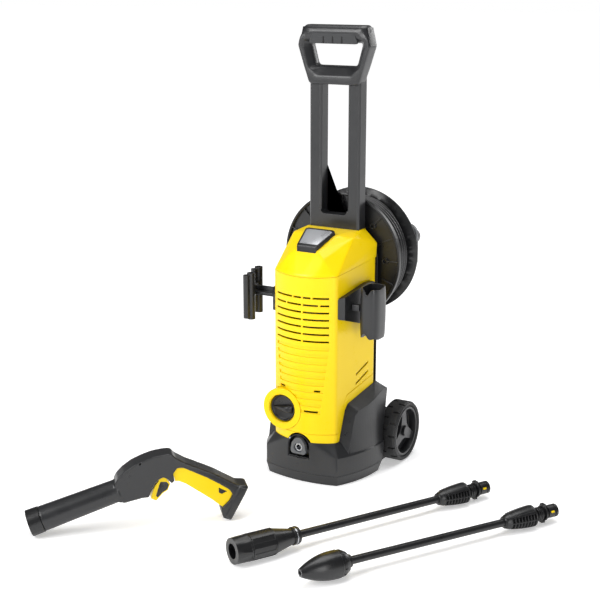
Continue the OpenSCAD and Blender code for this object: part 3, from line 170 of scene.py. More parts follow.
class Nodes:
    """A short way to add shader nodes and join their sockets."""

    def __init__(self, name):
        self.material = bpy.data.materials.new(name)
        self.material.use_nodes = True
        self.tree = self.material.node_tree
        self.shader = self.tree.nodes["Principled BSDF"]

    def add(self, kind, inputs=(), **settings):
        node = self.tree.nodes.new(kind)
        for key, value in settings.items():
            setattr(node, key, value)
        for key, value in dict(inputs).items():
            if isinstance(value, bpy.types.NodeSocket):
                self.tree.links.new(value, node.inputs[key])
            else:
                node.inputs[key].default_value = value
        return node

    def math(self, operation, a, b=0.0):
        return self.add("ShaderNodeMath", {0: a, 1: b}, operation=operation).outputs[0]

    def noise(self, where, scale, detail=2.0, rough=0.5):
        sockets = {"Vector": where, "Scale": scale, "Detail": detail, "Roughness": rough}
        return self.add("ShaderNodeTexNoise", sockets).outputs["Fac"]

    def spread(self, value, low, high, out_low, out_high):
        sockets = {
            "Value": value,
            "From Min": low,
            "From Max": high,
            "To Min": out_low,
            "To Max": out_high,
        }
        return self.add("ShaderNodeMapRange", sockets).outputs["Result"]

    def blend(self, fac, a, b):
        node = self.add("ShaderNodeMix", data_type="RGBA", clamp_factor=True)
        self.feed(fac, node.inputs[0])
        self.feed(a, node.inputs[6])
        self.feed(b, node.inputs[7])
        return node.outputs[2]

    def feed(self, value, socket):
        if isinstance(value, bpy.types.NodeSocket):
            self.tree.links.new(value, socket)
        else:
            socket.default_value = value


def shade(color, factor):
    return (*(min(1.0, c * factor) for c in color), 1)


def plastic(
    name,
    color,
    rough,
    metal=0.0,
    mottle=0.05,
    grain=0.25,
    grain_size=0.9,
    # How strongly the edges are painted lighter, as a painted highlight
    edge_highlight=0.25,
    edge=0.7,
    stretch=(1, 1, 1),
    spec=0.5,
):
    """A moulded or machined surface: fine grain, slow colour change, smudges and a painted highlight along
    its edges.

    edge and grain_size are in millimetres, and stretch packs the grain closer along an axis.
    """
    n = Nodes(name)
    here = n.add("ShaderNodeTexCoord").outputs["Object"]
    grained = n.add("ShaderNodeMapping", {"Vector": here, "Scale": stretch}).outputs[0]
    slow = n.noise(here, 7.0, 3.0)
    cloud = n.noise(here, 38.0, 4.0, 0.6)
    fine = n.noise(grained, 1000 / grain_size, 2.0, 0.6)
    bevel = n.add("ShaderNodeBevel", {"Radius": edge * MM}, samples=4)
    true = n.add("ShaderNodeNewGeometry").outputs["Normal"]
    facing = n.add(
        "ShaderNodeVectorMath",
        {0: bevel.outputs["Normal"], 1: true},
        operation="DOT_PRODUCT",
    ).outputs["Value"]
    # Painted highlight: the colour is made lighter near the edges, standing in for light caught by rounded
    # edges
    rim = n.spread(facing, 1.0, 0.86, 0.0, edge_highlight)
    rim = n.math("MULTIPLY", rim, n.spread(cloud, 0.35, 0.65, 0.35, 1.0))
    base = n.blend(
        n.spread(slow, 0.3, 0.7, 0.0, 1.0),
        shade(color, 1 - mottle),
        shade(color, 1 + mottle),
    )
    base = n.blend(n.spread(cloud, 0.5, 0.8, 0.0, mottle * 3), base, shade(color, 1.3))
    # The lighter edge colour is blended in here as a painted highlight
    base = n.blend(rim, base, shade([c * 0.7 + 0.22 for c in color], 1.0))
    n.feed(base, n.shader.inputs["Base Color"])
    gloss = n.spread(cloud, 0.3, 0.7, rough - 0.05, rough + 0.05)
    n.feed(n.math("ADD", gloss, n.spread(fine, 0.3, 0.7, -0.03, 0.03)), n.shader.inputs["Roughness"])
    bump = n.add(
        "ShaderNodeBump",
        {
            "Strength": grain,
            "Distance": 0.12 * MM,
            "Height": fine,
            "Normal": bevel.outputs["Normal"],
        },
    )
    n.feed(bump.outputs["Normal"], n.shader.inputs["Normal"])
    n.shader.inputs["Metallic"].default_value = metal
    n.shader.inputs["Specular IOR Level"].default_value = spec
    return n.material


BRUSHED = (1, 1, 14)

# The lighter-edge value in each finish sets the strength of its painted edge highlight
# Colour, roughness, and what else differs from plastic()'s own values
FINISHES = {
    "yellow_plastic": (
        (0.93, 0.65, 0.001),
        0.32,
        {"mottle": 0.02, "grain": 0.1, "edge_highlight": 0.08, "edge": 1.0, "spec": 0.28},
    ),
    "dark_plastic": (
        (0.016, 0.0165, 0.018),
        0.33,
        {"mottle": 0.1, "grain": 0.5, "grain_size": 1.1, "edge_highlight": 0.22, "edge": 1.1},
    ),
    "black_plastic": ((0.008, 0.0082, 0.009), 0.32, {"mottle": 0.12, "grain": 0.4, "edge_highlight": 0.22}),
    "grey_plastic": ((0.1, 0.104, 0.11), 0.42, {"mottle": 0.06, "grain": 0.4, "edge_highlight": 0.2}),
    "silver_plastic": ((0.5, 0.51, 0.53), 0.3, {"metal": 0.55, "mottle": 0.05, "grain": 0.2}),
    "tyre": ((0.009, 0.009, 0.0095), 0.6, {"mottle": 0.2, "grain": 0.7, "grain_size": 1.6, "edge_highlight": 0.35}),
    "hose_rubber": ((0.007, 0.007, 0.008), 0.34, {"mottle": 0.15, "grain": 0.3, "edge_highlight": 0.0}),
    "cast_aluminium": (
        (0.5, 0.5, 0.52),
        0.45,
        {"metal": 1.0, "mottle": 0.12, "grain": 0.8, "grain_size": 1.4},
    ),
    "steel": ((0.45, 0.46, 0.48), 0.28, {"metal": 1.0, "mottle": 0.08, "grain": 0.4, "stretch": BRUSHED}),
    "copper_winding": (
        (0.55, 0.25, 0.1),
        0.38,
        {"metal": 1.0, "mottle": 0.2, "grain": 0.9, "stretch": BRUSHED},
    ),
    "brass": ((0.6, 0.42, 0.15), 0.3, {"metal": 1.0, "mottle": 0.1, "grain": 0.4}),
    "soft_pad": ((0.03, 0.031, 0.033), 0.7, {"mottle": 0.1, "grain": 0.9, "grain_size": 0.8}),
    # Near-black painted shade, for the insides of the finger notches and of the lance cages
    "hollow": ((0.004, 0.004, 0.004), 0.8, {"mottle": 0.1, "grain": 0.5, "edge_highlight": 0.0}),
}


def make_materials():
    return {
        name: plastic(name, color, rough, **other)
        for name, (color, rough, other) in FINISHES.items()
    }


# ---- mesh helpers ----

# Faces that meet at less than this many degrees shade as one surface
SMOOTH_BELOW = 50


def new_piece(name, mesh, body, slot, *nodes, finish=None):
    """A piece that rides on a body and may stand for CAD nodes; finish is its look, if not its slot's."""
    piece = bpy.data.objects.new(name, mesh)
    bpy.context.scene.collection.objects.link(piece)
    mesh.materials.append(MATERIALS[finish or slot])
    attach(piece, body)
    if nodes:
        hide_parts(*nodes)
    return piece


def node_bmesh(*names):
    bm = bmesh.new()
    for name in names:
        bm.from_mesh(NODES[name].data)
    bmesh.ops.remove_doubles(bm, verts=bm.verts, dist=0.00001)
    return bm


def smooth_faces(bm):
    limit = math.radians(SMOOTH_BELOW)
    for face in bm.faces:
        face.smooth = True
    for e in bm.edges:
        e.smooth = len(e.link_faces) == 2 and e.calc_face_angle(0) < limit


def bevelled(name, node, width):
    """A copy of a CAD node with its sharp edges rounded."""
    bm = node_bmesh(node)
    bmesh.ops.dissolve_limit(
        bm, angle_limit=math.radians(0.6), verts=bm.verts, edges=bm.edges
    )
    for face in bm.faces:
        face.smooth = True
    mesh = bpy.data.meshes.new(name)
    bm.to_mesh(mesh)
    bm.free()
    piece = new_piece(name, mesh, BODY_OF[node], SLOT_OF[node], node)
    bevel = piece.modifiers.new("edges", "BEVEL")
    bevel.width = width * MM
    bevel.segments = 2
    bevel.limit_method = "ANGLE"
    bevel.angle_limit = math.radians(32)
    bevel.use_clamp_overlap = True
    bevel.harden_normals = False
    bevel.miter_outer = "MITER_ARC"
    piece.modifiers.new("normals", "WEIGHTED_NORMAL").keep_sharp = True
    return piece


def apply_modifiers(piece):
    graph = bpy.context.evaluated_depsgraph_get()
    mesh = bpy.data.meshes.new_from_object(piece.evaluated_get(graph))
    piece.modifiers.clear()
    piece.data = mesh
    return piece


def remeshed(name, nodes, voxel, rounds):
    """CAD nodes melted into one skin whose edges are rounded by smoothing."""
    bm = node_bmesh(*nodes)
    mesh = bpy.data.meshes.new(name)
    bm.to_mesh(mesh)
    bm.free()
    piece = new_piece(name, mesh, BODY_OF[nodes[0]], SLOT_OF[nodes[0]], *nodes)
    grid = piece.modifiers.new("skin", "REMESH")
    grid.mode = "VOXEL"
    grid.voxel_size = voxel * MM
    grid.use_smooth_shade = True
    soft = piece.modifiers.new("soft", "SMOOTH")
    soft.factor = 0.5
    soft.iterations = rounds
    return piece


def arc_corner(before, corner, after, radius, count):
    """The points of a round corner of an outline."""
    p, c, q = (Vector(v) for v in (before, corner, after))
    a, b = (p - c).normalized(), (q - c).normalized()
    half = math.acos(max(-1.0, min(1.0, a.dot(b)))) / 2
    reach = min(radius / math.tan(half), (p - c).length * 0.48, (q - c).length * 0.48)
    start, end = c + a * reach, c + b * reach
    return [
        (start.lerp(c, t)).lerp(c.lerp(end, t), t)
        for t in (i / count for i in range(count + 1))
    ]


def rounded(points, radius, count=8):
    n = len(points)
    found = []
    for i in range(n):
        found += arc_corner(points[i - 1], points[i], points[(i + 1) % n], radius, count)
    return found


def hit(outline, centre, angle):
    """Where a ray from the centre meets an outline."""
    d = Vector((math.cos(angle), math.sin(angle)))
    best = None
    for i in range(len(outline)):
        p, q = outline[i - 1], outline[i]
        e = q - p
        cross = d.x * e.y - d.y * e.x
        if abs(cross) < 1e-12:
            continue
        w = p - centre
        t = (w.x * e.y - w.y * e.x) / cross
        s = (w.x * d.y - w.y * d.x) / cross
        if t > 0 and -1e-9 <= s <= 1 + 1e-9 and (best is None or t > best):
            best = t
    return centre + d * best


def grid_mesh(name, rings, closed_ends=True, caps=False):
    """A skin over closed rings of points; closed_ends joins the last ring to the first."""
    bm = bmesh.new()
    rows = [[bm.verts.new(p) for p in ring] for ring in rings]
    n, m = len(rows), len(rows[0])
    for i in range(n if closed_ends else n - 1):
        a, b = rows[i], rows[(i + 1) % n]
        for k in range(m):
            bm.faces.new((a[k], a[(k + 1) % m], b[(k + 1) % m], b[k]))
    if caps:
        bm.faces.new(rows[0][::-1])
        bm.faces.new(rows[-1])
    bmesh.ops.recalc_face_normals(bm, faces=bm.faces)
    smooth_faces(bm)
    mesh = bpy.data.meshes.new(name)
    bm.to_mesh(mesh)
    bm.free()
    return mesh


def loop_piece(name, rings, body, slot, *nodes, finish=None):
    """A piece whose rings of points run round in a loop."""
    return new_piece(name, grid_mesh(name, rings), body, slot, *nodes, finish=finish)


def solid_piece(name, rings, body, slot, *nodes, finish=None):
    """A piece whose rings of points run from one capped end to the other."""
    mesh = grid_mesh(name, rings, closed_ends=False, caps=True)
    return new_piece(name, mesh, body, slot, *nodes, finish=finish)


def placed(rings, place):
    return [[(place @ Vector(p)) * MM for p in ring] for ring in rings]


# ---- grip ----

# The grip lies between these two Y, and is a ring between an outline and a window, in X and Z
GRIP_Y = (12, 46)
GRIP_OUTLINE = [(51, 733), (74.2, 803), (65.5, 840), (-65.5, 840), (-74.2, 803), (-51, 733)]
GRIP_WINDOW = [(43, 767), (53, 804), (52, 808), (-52, 808), (-53, 804), (-43, 767)]
GRIP_CORNER = 9
GRIP_CENTRE = Vector((0, 788))
NOTCH_PITCH = 19
GRIP_STEPS = 260
# From here up to here the section changes from a side's to the top bar's
GRIP_TOP_FROM, GRIP_TOP_TO = 812, 836
# Sections of the ring: share of the way from outline to window, and share of the depth
GRIP_SIDE = [
    (0.00, 0.62), (0.00, 0.36), (0.00, 0.16), (0.025, 0.05), (0.07, 0.0), (0.12, 0.0), (0.40, 0.0),
    (0.46, 0.012), (0.52, 0.05), (0.84, 0.30), (0.93, 0.37), (0.98, 0.44), (1.00, 0.54), (1.00, 0.72),
    (0.97, 0.86), (0.90, 0.96), (0.80, 1.0), (0.20, 1.0), (0.08, 0.97), (0.02, 0.88), (0.00, 0.76),
]
GRIP_TOP = [
    (0.00, 0.62), (0.00, 0.44), (0.03, 0.27), (0.10, 0.14), (0.20, 0.06), (0.25, 0.05), (0.34, 0.0),
    (0.40, 0.0), (0.50, 0.01), (0.80, 0.06), (0.92, 0.09), (0.98, 0.17), (1.00, 0.30), (1.00, 0.60),
    (0.96, 0.80), (0.88, 0.93), (0.76, 0.99), (0.30, 0.99), (0.12, 0.93), (0.03, 0.82), (0.00, 0.72),
]


def grip_ring(angle, outline, window, centre):
    outer, inner = hit(outline, centre, angle), hit(window, centre, angle)
    top = (outer.y - GRIP_TOP_FROM) / (GRIP_TOP_TO - GRIP_TOP_FROM)
    top = max(0.0, min(1.0, top))
    top = top * top * (3 - 2 * top)
    y0, y1 = GRIP_Y
    ring = []
    for (ta, ya), (tb, yb) in zip(GRIP_SIDE, GRIP_TOP):
        t = ta + (tb - ta) * top
        depth = ya + (yb - ya) * top
        p = outer.lerp(inner, t)
        ring.append((p.x * MM, (y0 + (y1 - y0) * depth) * MM, p.y * MM))
    return ring


def make_grip():
    outline, window = rounded(GRIP_OUTLINE, GRIP_CORNER), rounded(GRIP_WINDOW, GRIP_CORNER)
    rings = [
        grip_ring(2 * math.pi * i / GRIP_STEPS, outline, window, GRIP_CENTRE)
        for i in range(GRIP_STEPS)
    ]
    loop_piece("handle_grip_ring", rings, "handle", "dark_plastic", "handle_grip")
    make_finger_pad()
    for side, name in ((-1, "left"), (1, "right")):
        make_grip_end(side, name)


def slab(outline, y0, y1, rim):
    """The rings of a flat pad with an outline in X and Z and a rounded rim on its front."""
    centre = sum(outline, Vector((0, 0))) / len(outline)
    half_x = max(abs(p.x - centre.x) for p in outline)
    half_z = max(abs(p.y - centre.y) for p in outline)

    def ring(inset, y):
        found = []
        for p in outline:
            x = centre.x + (p.x - centre.x) * (1 - inset / half_x)
            z = centre.y + (p.y - centre.y) * (1 - inset / half_z)
            found.append((x * MM, y * MM, z * MM))
        return found

    rings = [ring(0, y1), ring(0, y0 + rim)]
    for i in range(1, 5):
        a = math.pi / 8 * i
        rings.append(ring(rim * (1 - math.cos(a)), y0 + rim * (1 - math.sin(a))))
    return rings


def make_finger_pad():
    """The dark soft pad under the fingers, with three notches drawn as near-black sheets of painted shade.
    """
    y = GRIP_Y[0]
    pad = slab(rounded([(-52, 806.5), (52, 806.5), (43, 825), (-43, 825)], 5, 6), y - 0.55, y + 4, 0.9)
    solid_piece("finger_pad", pad, "handle", "black_plastic", finish="soft_pad")
    # Each notch is a thin near-black sheet on the pad's face, painted shade for the shadow in a notch
    for i in (-1, 0, 1):
        x = NOTCH_PITCH * i
        notch = rounded([(x - 2.6, 807), (x + 1.4, 807), (x + 0.4, 820), (x - 1.8, 820)], 1.2, 4)
        rings = slab(notch, y - 0.7, y + 1, 0.25)
        solid_piece(f"finger_notch_{i + 2}", rings, "handle", "black_plastic", finish="hollow")


def make_grip_end(side, name):
    """The dark end cap on the outer slant of the grip's upper corner."""
    low, high = Vector((73.6, 806)), Vector((66.4, 836))
    y0, y1 = GRIP_Y[0] + 7, GRIP_Y[1] - 4
    out = Vector((0.35, 0.08))
    rings = []
    for depth, inset in ((-3.0, 0.0), (0.0, 0.0), (0.25, 1.2)):
        ring = []
        for t, y in ((0, y0), (0, y1), (1, y1), (1, y0)):
            p = low.lerp(high, t) + out * depth
            dz = inset if t == 0 else -inset
            dy = inset if y == y0 else -inset
            ring.append((side * p.x * MM, (y + dy) * MM, (p.y + dz) * MM))
        rings.append(ring)
    solid_piece(f"grip_end_{name}", rings, "handle", "black_plastic")


# ---- cap ----


def softened(bm, voxel, rounds):
    """The skin of a solid, with its edges rounded by smoothing."""
    mesh = bpy.data.meshes.new("block")
    bm.to_mesh(mesh)
    bm.free()
    block = bpy.data.objects.new("block", mesh)
    bpy.context.scene.collection.objects.link(block)
    grid = block.modifiers.new("skin", "REMESH")
    grid.mode = "VOXEL"
    grid.voxel_size = voxel * MM
    soft = block.modifiers.new("soft", "SMOOTH")
    soft.factor = 0.5
    soft.iterations = rounds
    found = bmesh.new()
    found.from_mesh(apply_modifiers(block).data)
    bpy.data.objects.remove(block)
    return found


def cut_by(bm, at, normal, drop=False):
    """Cuts every face along a plane, and drops what lies beyond it if asked."""
    geom = bm.verts[:] + bm.edges[:] + bm.faces[:]
    bmesh.ops.bisect_plane(bm, geom=geom, dist=1e-7, plane_co=at, plane_no=normal, clear_outer=drop)


# Two points of the cap's lower edge in Y and Z, and the half width and front of the handle's slot
CAP_SEAM = ((-112, 397.9), (45, 415.0))
CAP_SLOT = (53.6, 18.2)
# The gap at the seam
CAP_LIFT = 0.2
# Corners of the CAD cap below this height are repeated this far down, so that the seam cuts through a wall
CAP_SKIRT_TOP = 418
CAP_SKIRT_DROP = 16


def make_cap():
    """The cap as a moulded shell: a faceted dome with soft edges, cut at its seam and for the handle."""
    bm = node_bmesh("top_cap")
    points = [v.co.copy() for v in bm.verts]
    low = [p - Vector((0, 0, CAP_SKIRT_DROP * MM)) for p in points if p.z < CAP_SKIRT_TOP * MM]
    bm.clear()
    verts = [bm.verts.new(p) for p in points + low]
    hull = bmesh.ops.convex_hull(bm, input=verts)
    spare = hull["geom_interior"] + hull["geom_unused"]
    spare = list({v for v in spare if isinstance(v, bmesh.types.BMVert)})
    bmesh.ops.delete(bm, geom=spare, context="VERTS")
    bm = softened(bm, 1.4, 14)
    (ya, za), (yb, zb) = CAP_SEAM
    slope = Vector((0, yb - ya, zb - za)).normalized()
    cut_by(bm, (0, ya * MM, (za + CAP_LIFT) * MM), (0, slope.z, -slope.y), drop=True)
    half, slot_y = CAP_SLOT
    cut_by(bm, (half * MM, 0, 0), (1, 0, 0))
    cut_by(bm, (-half * MM, 0, 0), (1, 0, 0))
    cut_by(bm, (0, slot_y * MM, 0), (0, 1, 0))
    gone = []
    for face in bm.faces:
        c = face.calc_center_median() / MM
        if abs(c.x) < half and c.y > slot_y:
            gone.append(face)
    bmesh.ops.delete(bm, geom=gone, context="FACES")
    smooth_faces(bm)
    mesh = bpy.data.meshes.new("top_cap_skin")
    bm.to_mesh(mesh)
    bm.free()
    piece = new_piece("top_cap_skin", mesh, "machine", "yellow_plastic", "top_cap")
    wall = piece.modifiers.new("wall", "SOLIDIFY")
    wall.thickness = 2.4 * MM
    wall.offset = -1
    edge = piece.modifiers.new("edges", "BEVEL")
    edge.width = 0.5 * MM
    edge.segments = 2
    edge.angle_limit = math.radians(60)


# The badge's lower edge, and its tilt in degrees
BADGE_AT = (0, -80, 451.5)
BADGE_TILT = 22


def badge_outline(grow):
    points = [(-18, 0), (18, 0), (27, 48), (22, 51), (-22, 51), (-27, 48)]
    centre = Vector((0, 26))
    return rounded([centre + (Vector(p) - centre) * (1 + grow / 24) for p in points], 4, 6)


def make_badge():
    """A blank silver plate in a black frame, with a rounded black block at its lower edge."""
    place = Matrix.Translation(BADGE_AT) @ Matrix.Rotation(math.radians(BADGE_TILT), 4, "X")

    def levels(*steps):
        return placed([[(p.x, p.y, z) for p in badge_outline(grow)] for grow, z in steps], place)

    surround = levels((0.2, -1.2), (0.2, 0.3), (1.0, 0.7), (3.0, 0.7), (3.8, -0.2), (3.8, -9))
    loop_piece("badge_surround", surround, "machine", "black_plastic", "badge_frame")
    face = levels((0.1, -3), (0.1, 0.05), (-0.5, 0.25))
    solid_piece("badge_face", face, "machine", "silver_plastic", "badge_plate")
    rings = []
    for x in (-20, -19, -17, 17, 19, 20):
        soft = 0 if abs(x) < 19.5 else 1.2
        top = [(2, 1.0 - soft), (-1, 1.2 - soft), (-3.4, 0.4 - soft)]
        below = [(-5, -2), (-10.5 + soft, -13), (-9, -14.5), (2, -14.5)]
        rings.append([(x, y, z) for y, z in top + below])
    solid_piece("badge_block", placed(rings, place), "machine", "black_plastic")


# ---- rotary switch ----

KNOB_AT = (-36, 139)
KNOB_STEPS = 72
# Radius and Y of the cup, from its spindle's end round its wall to its floor
KNOB_PROFILE = [
    (0.05, -83), (4, -83), (4, -102), (24.6, -102), (25, -102.6), (25, -109.2), (24.3, -110),
    (23, -109.7), (21.8, -107.2), (21, -106.9), (0.05, -106.9),
]
# X, half width and height of the wedge on the cup's floor
KNOB_WEDGE = [
    (-21, 1.2, 0.6), (-19.5, 2.2, 2.6), (6, 7.8, 8.6), (12, 8.8, 8.8),
    (15, 8.8, 7.6), (19.5, 8.2, 2.4), (20.6, 7.6, 0.3),
]
KNOB_FLOOR = -106.9


def make_knob():
    """A shallow dark cup with a wedge that points across it."""
    x0, z0 = KNOB_AT
    angles = [2 * math.pi * k / KNOB_STEPS for k in range(KNOB_STEPS)]
    cup = [
        [Vector((x0 + r * math.cos(a), y, z0 + r * math.sin(a))) * MM for a in angles]
        for r, y in KNOB_PROFILE
    ]
    loop_piece("switch_cup", cup, "switch", "black_plastic", "switch_knob")
    wedge = []
    for x, half, tall in KNOB_WEDGE:
        left = [(-half, -3), (-half, 0), (-half * 0.62, tall * 0.85), (-half * 0.3, tall)]
        right = [(-z, d) for z, d in left[::-1]]
        wedge.append([Vector((x0 + x, KNOB_FLOOR - d, z0 + z)) * MM for z, d in left + right])
    solid_piece("switch_wedge", wedge, "switch", "black_plastic")


# ---- release lever ----

# The gun's own plane stands on this point, turned from +X by this many degrees
GUN_AT = (-280.3, -544.2)
GUN_TURN = 42.7
# Outlines in that plane: distance along the gun, and height
LEVER_BACK = [
    (224, 82), (235, 81), (239.6, 75.6), (236, 66.4), (227, 61), (218, 51.5), (215.5, 56), (219, 68),
]
LEVER_RIB = [(0, 0), (2.2, 1.4), (3.4, 16), (1.2, 15.4)]
LEVER_RIB_AT = (221.5, 57.5)
LEVER_RIB_STEP = (4.6, 3.2)


def gun_plate(name, outline, half, body, slot):
    """A rounded plate lying in the gun's own plane, this far to each side of it."""
    place = Matrix.Translation((*GUN_AT, 0)) @ Matrix.Rotation(math.radians(GUN_TURN), 4, "Z")
    shape = rounded(outline, 2.5, 5)
    centre = sum(shape, Vector((0, 0))) / len(shape)
    rings = []
    for depth, scale in ((-half, 0.93), (-half + 0.5, 1.0), (half - 0.5, 1.0), (half, 0.93)):
        level = [centre + (p - centre) * scale for p in shape]
        rings.append([Vector((p.x, depth, p.y)) for p in level])
    solid_piece(name, placed(rings, place), body, slot)


def make_lever_back():
    """The lever's dark rear half, with three ribs."""
    gun_plate("lever_back", LEVER_BACK, 9.2, "release_lever", "black_plastic")
    for i in range(3):
        x = LEVER_RIB_AT[0] + LEVER_RIB_STEP[0] * i
        z = LEVER_RIB_AT[1] + LEVER_RIB_STEP[1] * i
        rib = [(x + dx, z + dz) for dx, dz in LEVER_RIB]
        gun_plate(f"lever_rib_{i + 1}", rib, 9.45, "release_lever", "black_plastic")


# ---- gun pocket ----


# X and Y of the pocket's sides, its wall, the middle of its height and half of it
POCKET_X = (94, 132)
POCKET_Y = (-62, -8)
POCKET_WALL = 2.4
POCKET_MIDDLE = 330
POCKET_HALF = 49
POCKET_STEPS = 96
POCKET_LEVELS = 16
# The power of its rounded-square section: 2 would be an ellipse
POCKET_POWER = 3.2


def pocket_point(a, inset, z):
    """A point on the pocket's wall at an angle and a height, this far in from its outside."""
    (x0, x1), (y0, y1) = POCKET_X, POCKET_Y
    bulge = 1 - 0.06 * abs((z - POCKET_MIDDLE) / POCKET_HALF) ** 2
    c, d = math.cos(a), math.sin(a)
    k = (abs(c) ** POCKET_POWER + abs(d) ** POCKET_POWER) ** (-1 / POCKET_POWER)
    x = (x0 + x1) / 2 + ((x1 - x0) / 2 * bulge - inset) * c * k
    y = (y0 + y1) / 2 + ((y1 - y0) / 2 * bulge - inset) * d * k
    return (x, y, z)


def wave(a, middle, width):
    """A smooth bump of height 1 round an angle in degrees."""
    away = math.remainder(a - math.radians(middle), 2 * math.pi)
    return math.exp(-((away / width) ** 2))


def make_pocket():
    """The open pocket that holds the gun: a barrel-shaped tube with wavy rims."""
    rings = []
    for k in range(POCKET_STEPS):
        a = 2 * math.pi * k / POCKET_STEPS
        low = 281.3 + 12 * wave(a, 252, 0.42) + 3 * wave(a, 310, 0.3)
        high = 377.6 - 12 * wave(a, 268, 0.36) - 3.6 * wave(a, 350, 0.5)
        heights = [low + (high - low) * i / POCKET_LEVELS for i in range(POCKET_LEVELS + 1)]
        outer = [pocket_point(a, 0.0, z) for z in heights]
        outer[0] = pocket_point(a, 0.5, low)
        outer[-1] = pocket_point(a, 0.6, high)
        inner = [pocket_point(a, POCKET_WALL, z) for z in heights[::-1]]
        rings.append([Vector(p) * MM for p in outer + inner])
    loop_piece("gun_pocket_skin", rings, "machine", "dark_plastic", "gun_holder")
    arm = rounded([(-58.8, 333.2), (-46.2, 333.2), (-46.2, 344.8), (-58.8, 344.8)], 1.5, 4)
    rings = [[Vector((x, p.x, p.y)) * MM for p in arm] for x in (82, 90, 96.2)]
    solid_piece("gun_pocket_arm", rings, "machine", "dark_plastic")


# ---- lance grips and small marks ----

# Where a lance's mouth lies, its heading and its fall in degrees, and its length
VARIO = (Vector((78, -461.4, 24)), 60.95, 0.55, 527)
JET = (Vector((210.3, -470.7, 23.9)), 58.78, 0.57, 510)
LATHE_STEPS = 64


def lance_place(lance):
    """Turns a shape drawn up along a lance's own axis into its place on the floor."""
    at, turn, fall, _ = lance
    return (
        Matrix.Translation(at)
        @ Matrix.Rotation(math.radians(turn), 4, "Z")
        @ Matrix.Rotation(math.radians(fall), 4, "Y")
        @ Matrix.Rotation(math.radians(90), 4, "Y")
    )


def turned_piece(name, profile, lance, body, *nodes, finish=None):
    """A closed profile of radius and height turned about a lance's axis."""
    angles = [2 * math.pi * k / LATHE_STEPS for k in range(LATHE_STEPS)]
    rings = [[(r * math.cos(a), r * math.sin(a), z) for a in angles] for r, z in profile]
    rings = placed(rings, lance_place(lance))
    return loop_piece(name, rings, body, "black_plastic", *nodes, finish=finish)


# The cage starts this far from the nipple's end, and the tube fills its bore
CAGE_START = 46 + 1 + 66
CAGE_BORE = 6.95
# The ribbed stretch of the cage: where it starts and how long it is
RIBS_FROM, RIBS_LONG = 11, 49
RIB_COUNT = 7
RAIL_ANGLES = (90, 138, 42, -90, -138, -42)
RAIL_STEPS = 24
# The smooth back: where it starts, its length, and the steps in degrees of its arc
BACK_FROM, BACK_LONG = 7, 54
BACK_STEP = 4.6
BACK_HALF_STEPS = 12
BACK_INNER_R = 9
# The back's outer radius: at its start, how much it swells, and at its trimmed end
BACK_START_R, BACK_SWELL, BACK_END_R = 12.8, 6.4, 18.6


def cage_radius(t):
    return 13.5 + 5.6 * math.sin(math.radians(10 + 80 * t))


def make_cage(lance, key, body):
    """The grip of a lance: a dark core behind thin ribs and rails, under a smooth back; the core's
    near-black colour is painted shade.
    """
    z0 = lance[3] - CAGE_START
    bore = CAGE_BORE
    core = [(bore, z0 + 1), (10.5, z0 + 1), (11.5, z0 + 62), (bore, z0 + 62)]
    # The core is painted near-black as the shade inside the cage
    turned_piece(f"{key}_core", core, lance, body, f"{key}_grip", finish="hollow")
    nose = [(bore, 0), (9, 0), (10.5, 1.5), (13.2, 9), (13.8, 11), (13, 12), (bore, 12)]
    turned_piece(f"{key}_nose", [(r, z0 + z) for r, z in nose], lance, body)
    full = cage_radius(1)
    tail = [(bore, 59), (full - 1, 59), (full - 0.2, 59.8)]
    tail += [(full - 0.2, 61.4), (full - 1.2, 62.2), (bore, 62.2)]
    turned_piece(f"{key}_tail", [(r, z0 + z) for r, z in tail], lance, body)
    make_ribs(lance, key, body, z0)
    make_rails(lance, key, body, z0)
    make_back(lance, key, body, z0)


def make_ribs(lance, key, body, z0):
    """The thin rings round the cage."""
    for i in range(1, RIB_COUNT + 1):
        t = i / (RIB_COUNT + 1)
        z = z0 + RIBS_FROM + RIBS_LONG * t
        r = cage_radius(t) - 0.4
        low = [(CAGE_BORE, z - 0.9), (r - 0.4, z - 0.9), (r, z - 0.5)]
        high = [(r, z + 0.5), (r - 0.4, z + 0.9), (CAGE_BORE, z + 0.9)]
        turned_piece(f"{key}_rib_{i}", low + high, lance, body)


def make_rails(lance, key, body, z0):
    """The rails that run along the cage."""
    place = lance_place(lance)
    for i, angle in enumerate(RAIL_ANGLES):
        turn = Matrix.Rotation(math.radians(angle), 4, "Z")
        rings = []
        for k in range(RAIL_STEPS + 1):
            t = k / RAIL_STEPS
            r = cage_radius(t) + 0.2
            shape = [(9, -0.9), (r - 0.5, -0.9), (r, -0.4), (r, 0.4), (r - 0.5, 0.9), (9, 0.9)]
            rings.append([turn @ Vector((x, y, z0 + RIBS_FROM + RIBS_LONG * t)) for x, y in shape])
        solid_piece(f"{key}_rail_{i}", placed(rings, place), body, "black_plastic")


def make_back(lance, key, body, z0):
    """The smooth back over half of the cage."""
    count = 2 * BACK_HALF_STEPS + 1
    angles = [math.radians(180 + (j - BACK_HALF_STEPS) * BACK_STEP) for j in range(count)]
    rings = []
    for k in range(RAIL_STEPS + 1):
        t = k / RAIL_STEPS
        z = z0 + BACK_FROM + BACK_LONG * t
        r = BACK_START_R + BACK_SWELL * math.sin(math.radians(90 * t)) if t < 1 else BACK_END_R
        outer = [(r * math.cos(a), r * math.sin(a), z) for a in angles]
        inner = [(BACK_INNER_R * math.cos(a), BACK_INNER_R * math.sin(a), z) for a in angles[::-1]]
        rings.append(outer + inner)
    solid_piece(f"{key}_back", placed(rings, lance_place(lance)), body, "black_plastic")


# A yellow mark on a nipple: its inner and outer radius, and where it lies round and along it
MARK_RADII = (10.8, 11.8)
MARK_ANGLE = 108
MARK_HALF_ANGLE = 9
MARK_FROM_END = 13
MARK_HALF_LENGTH = 3.5


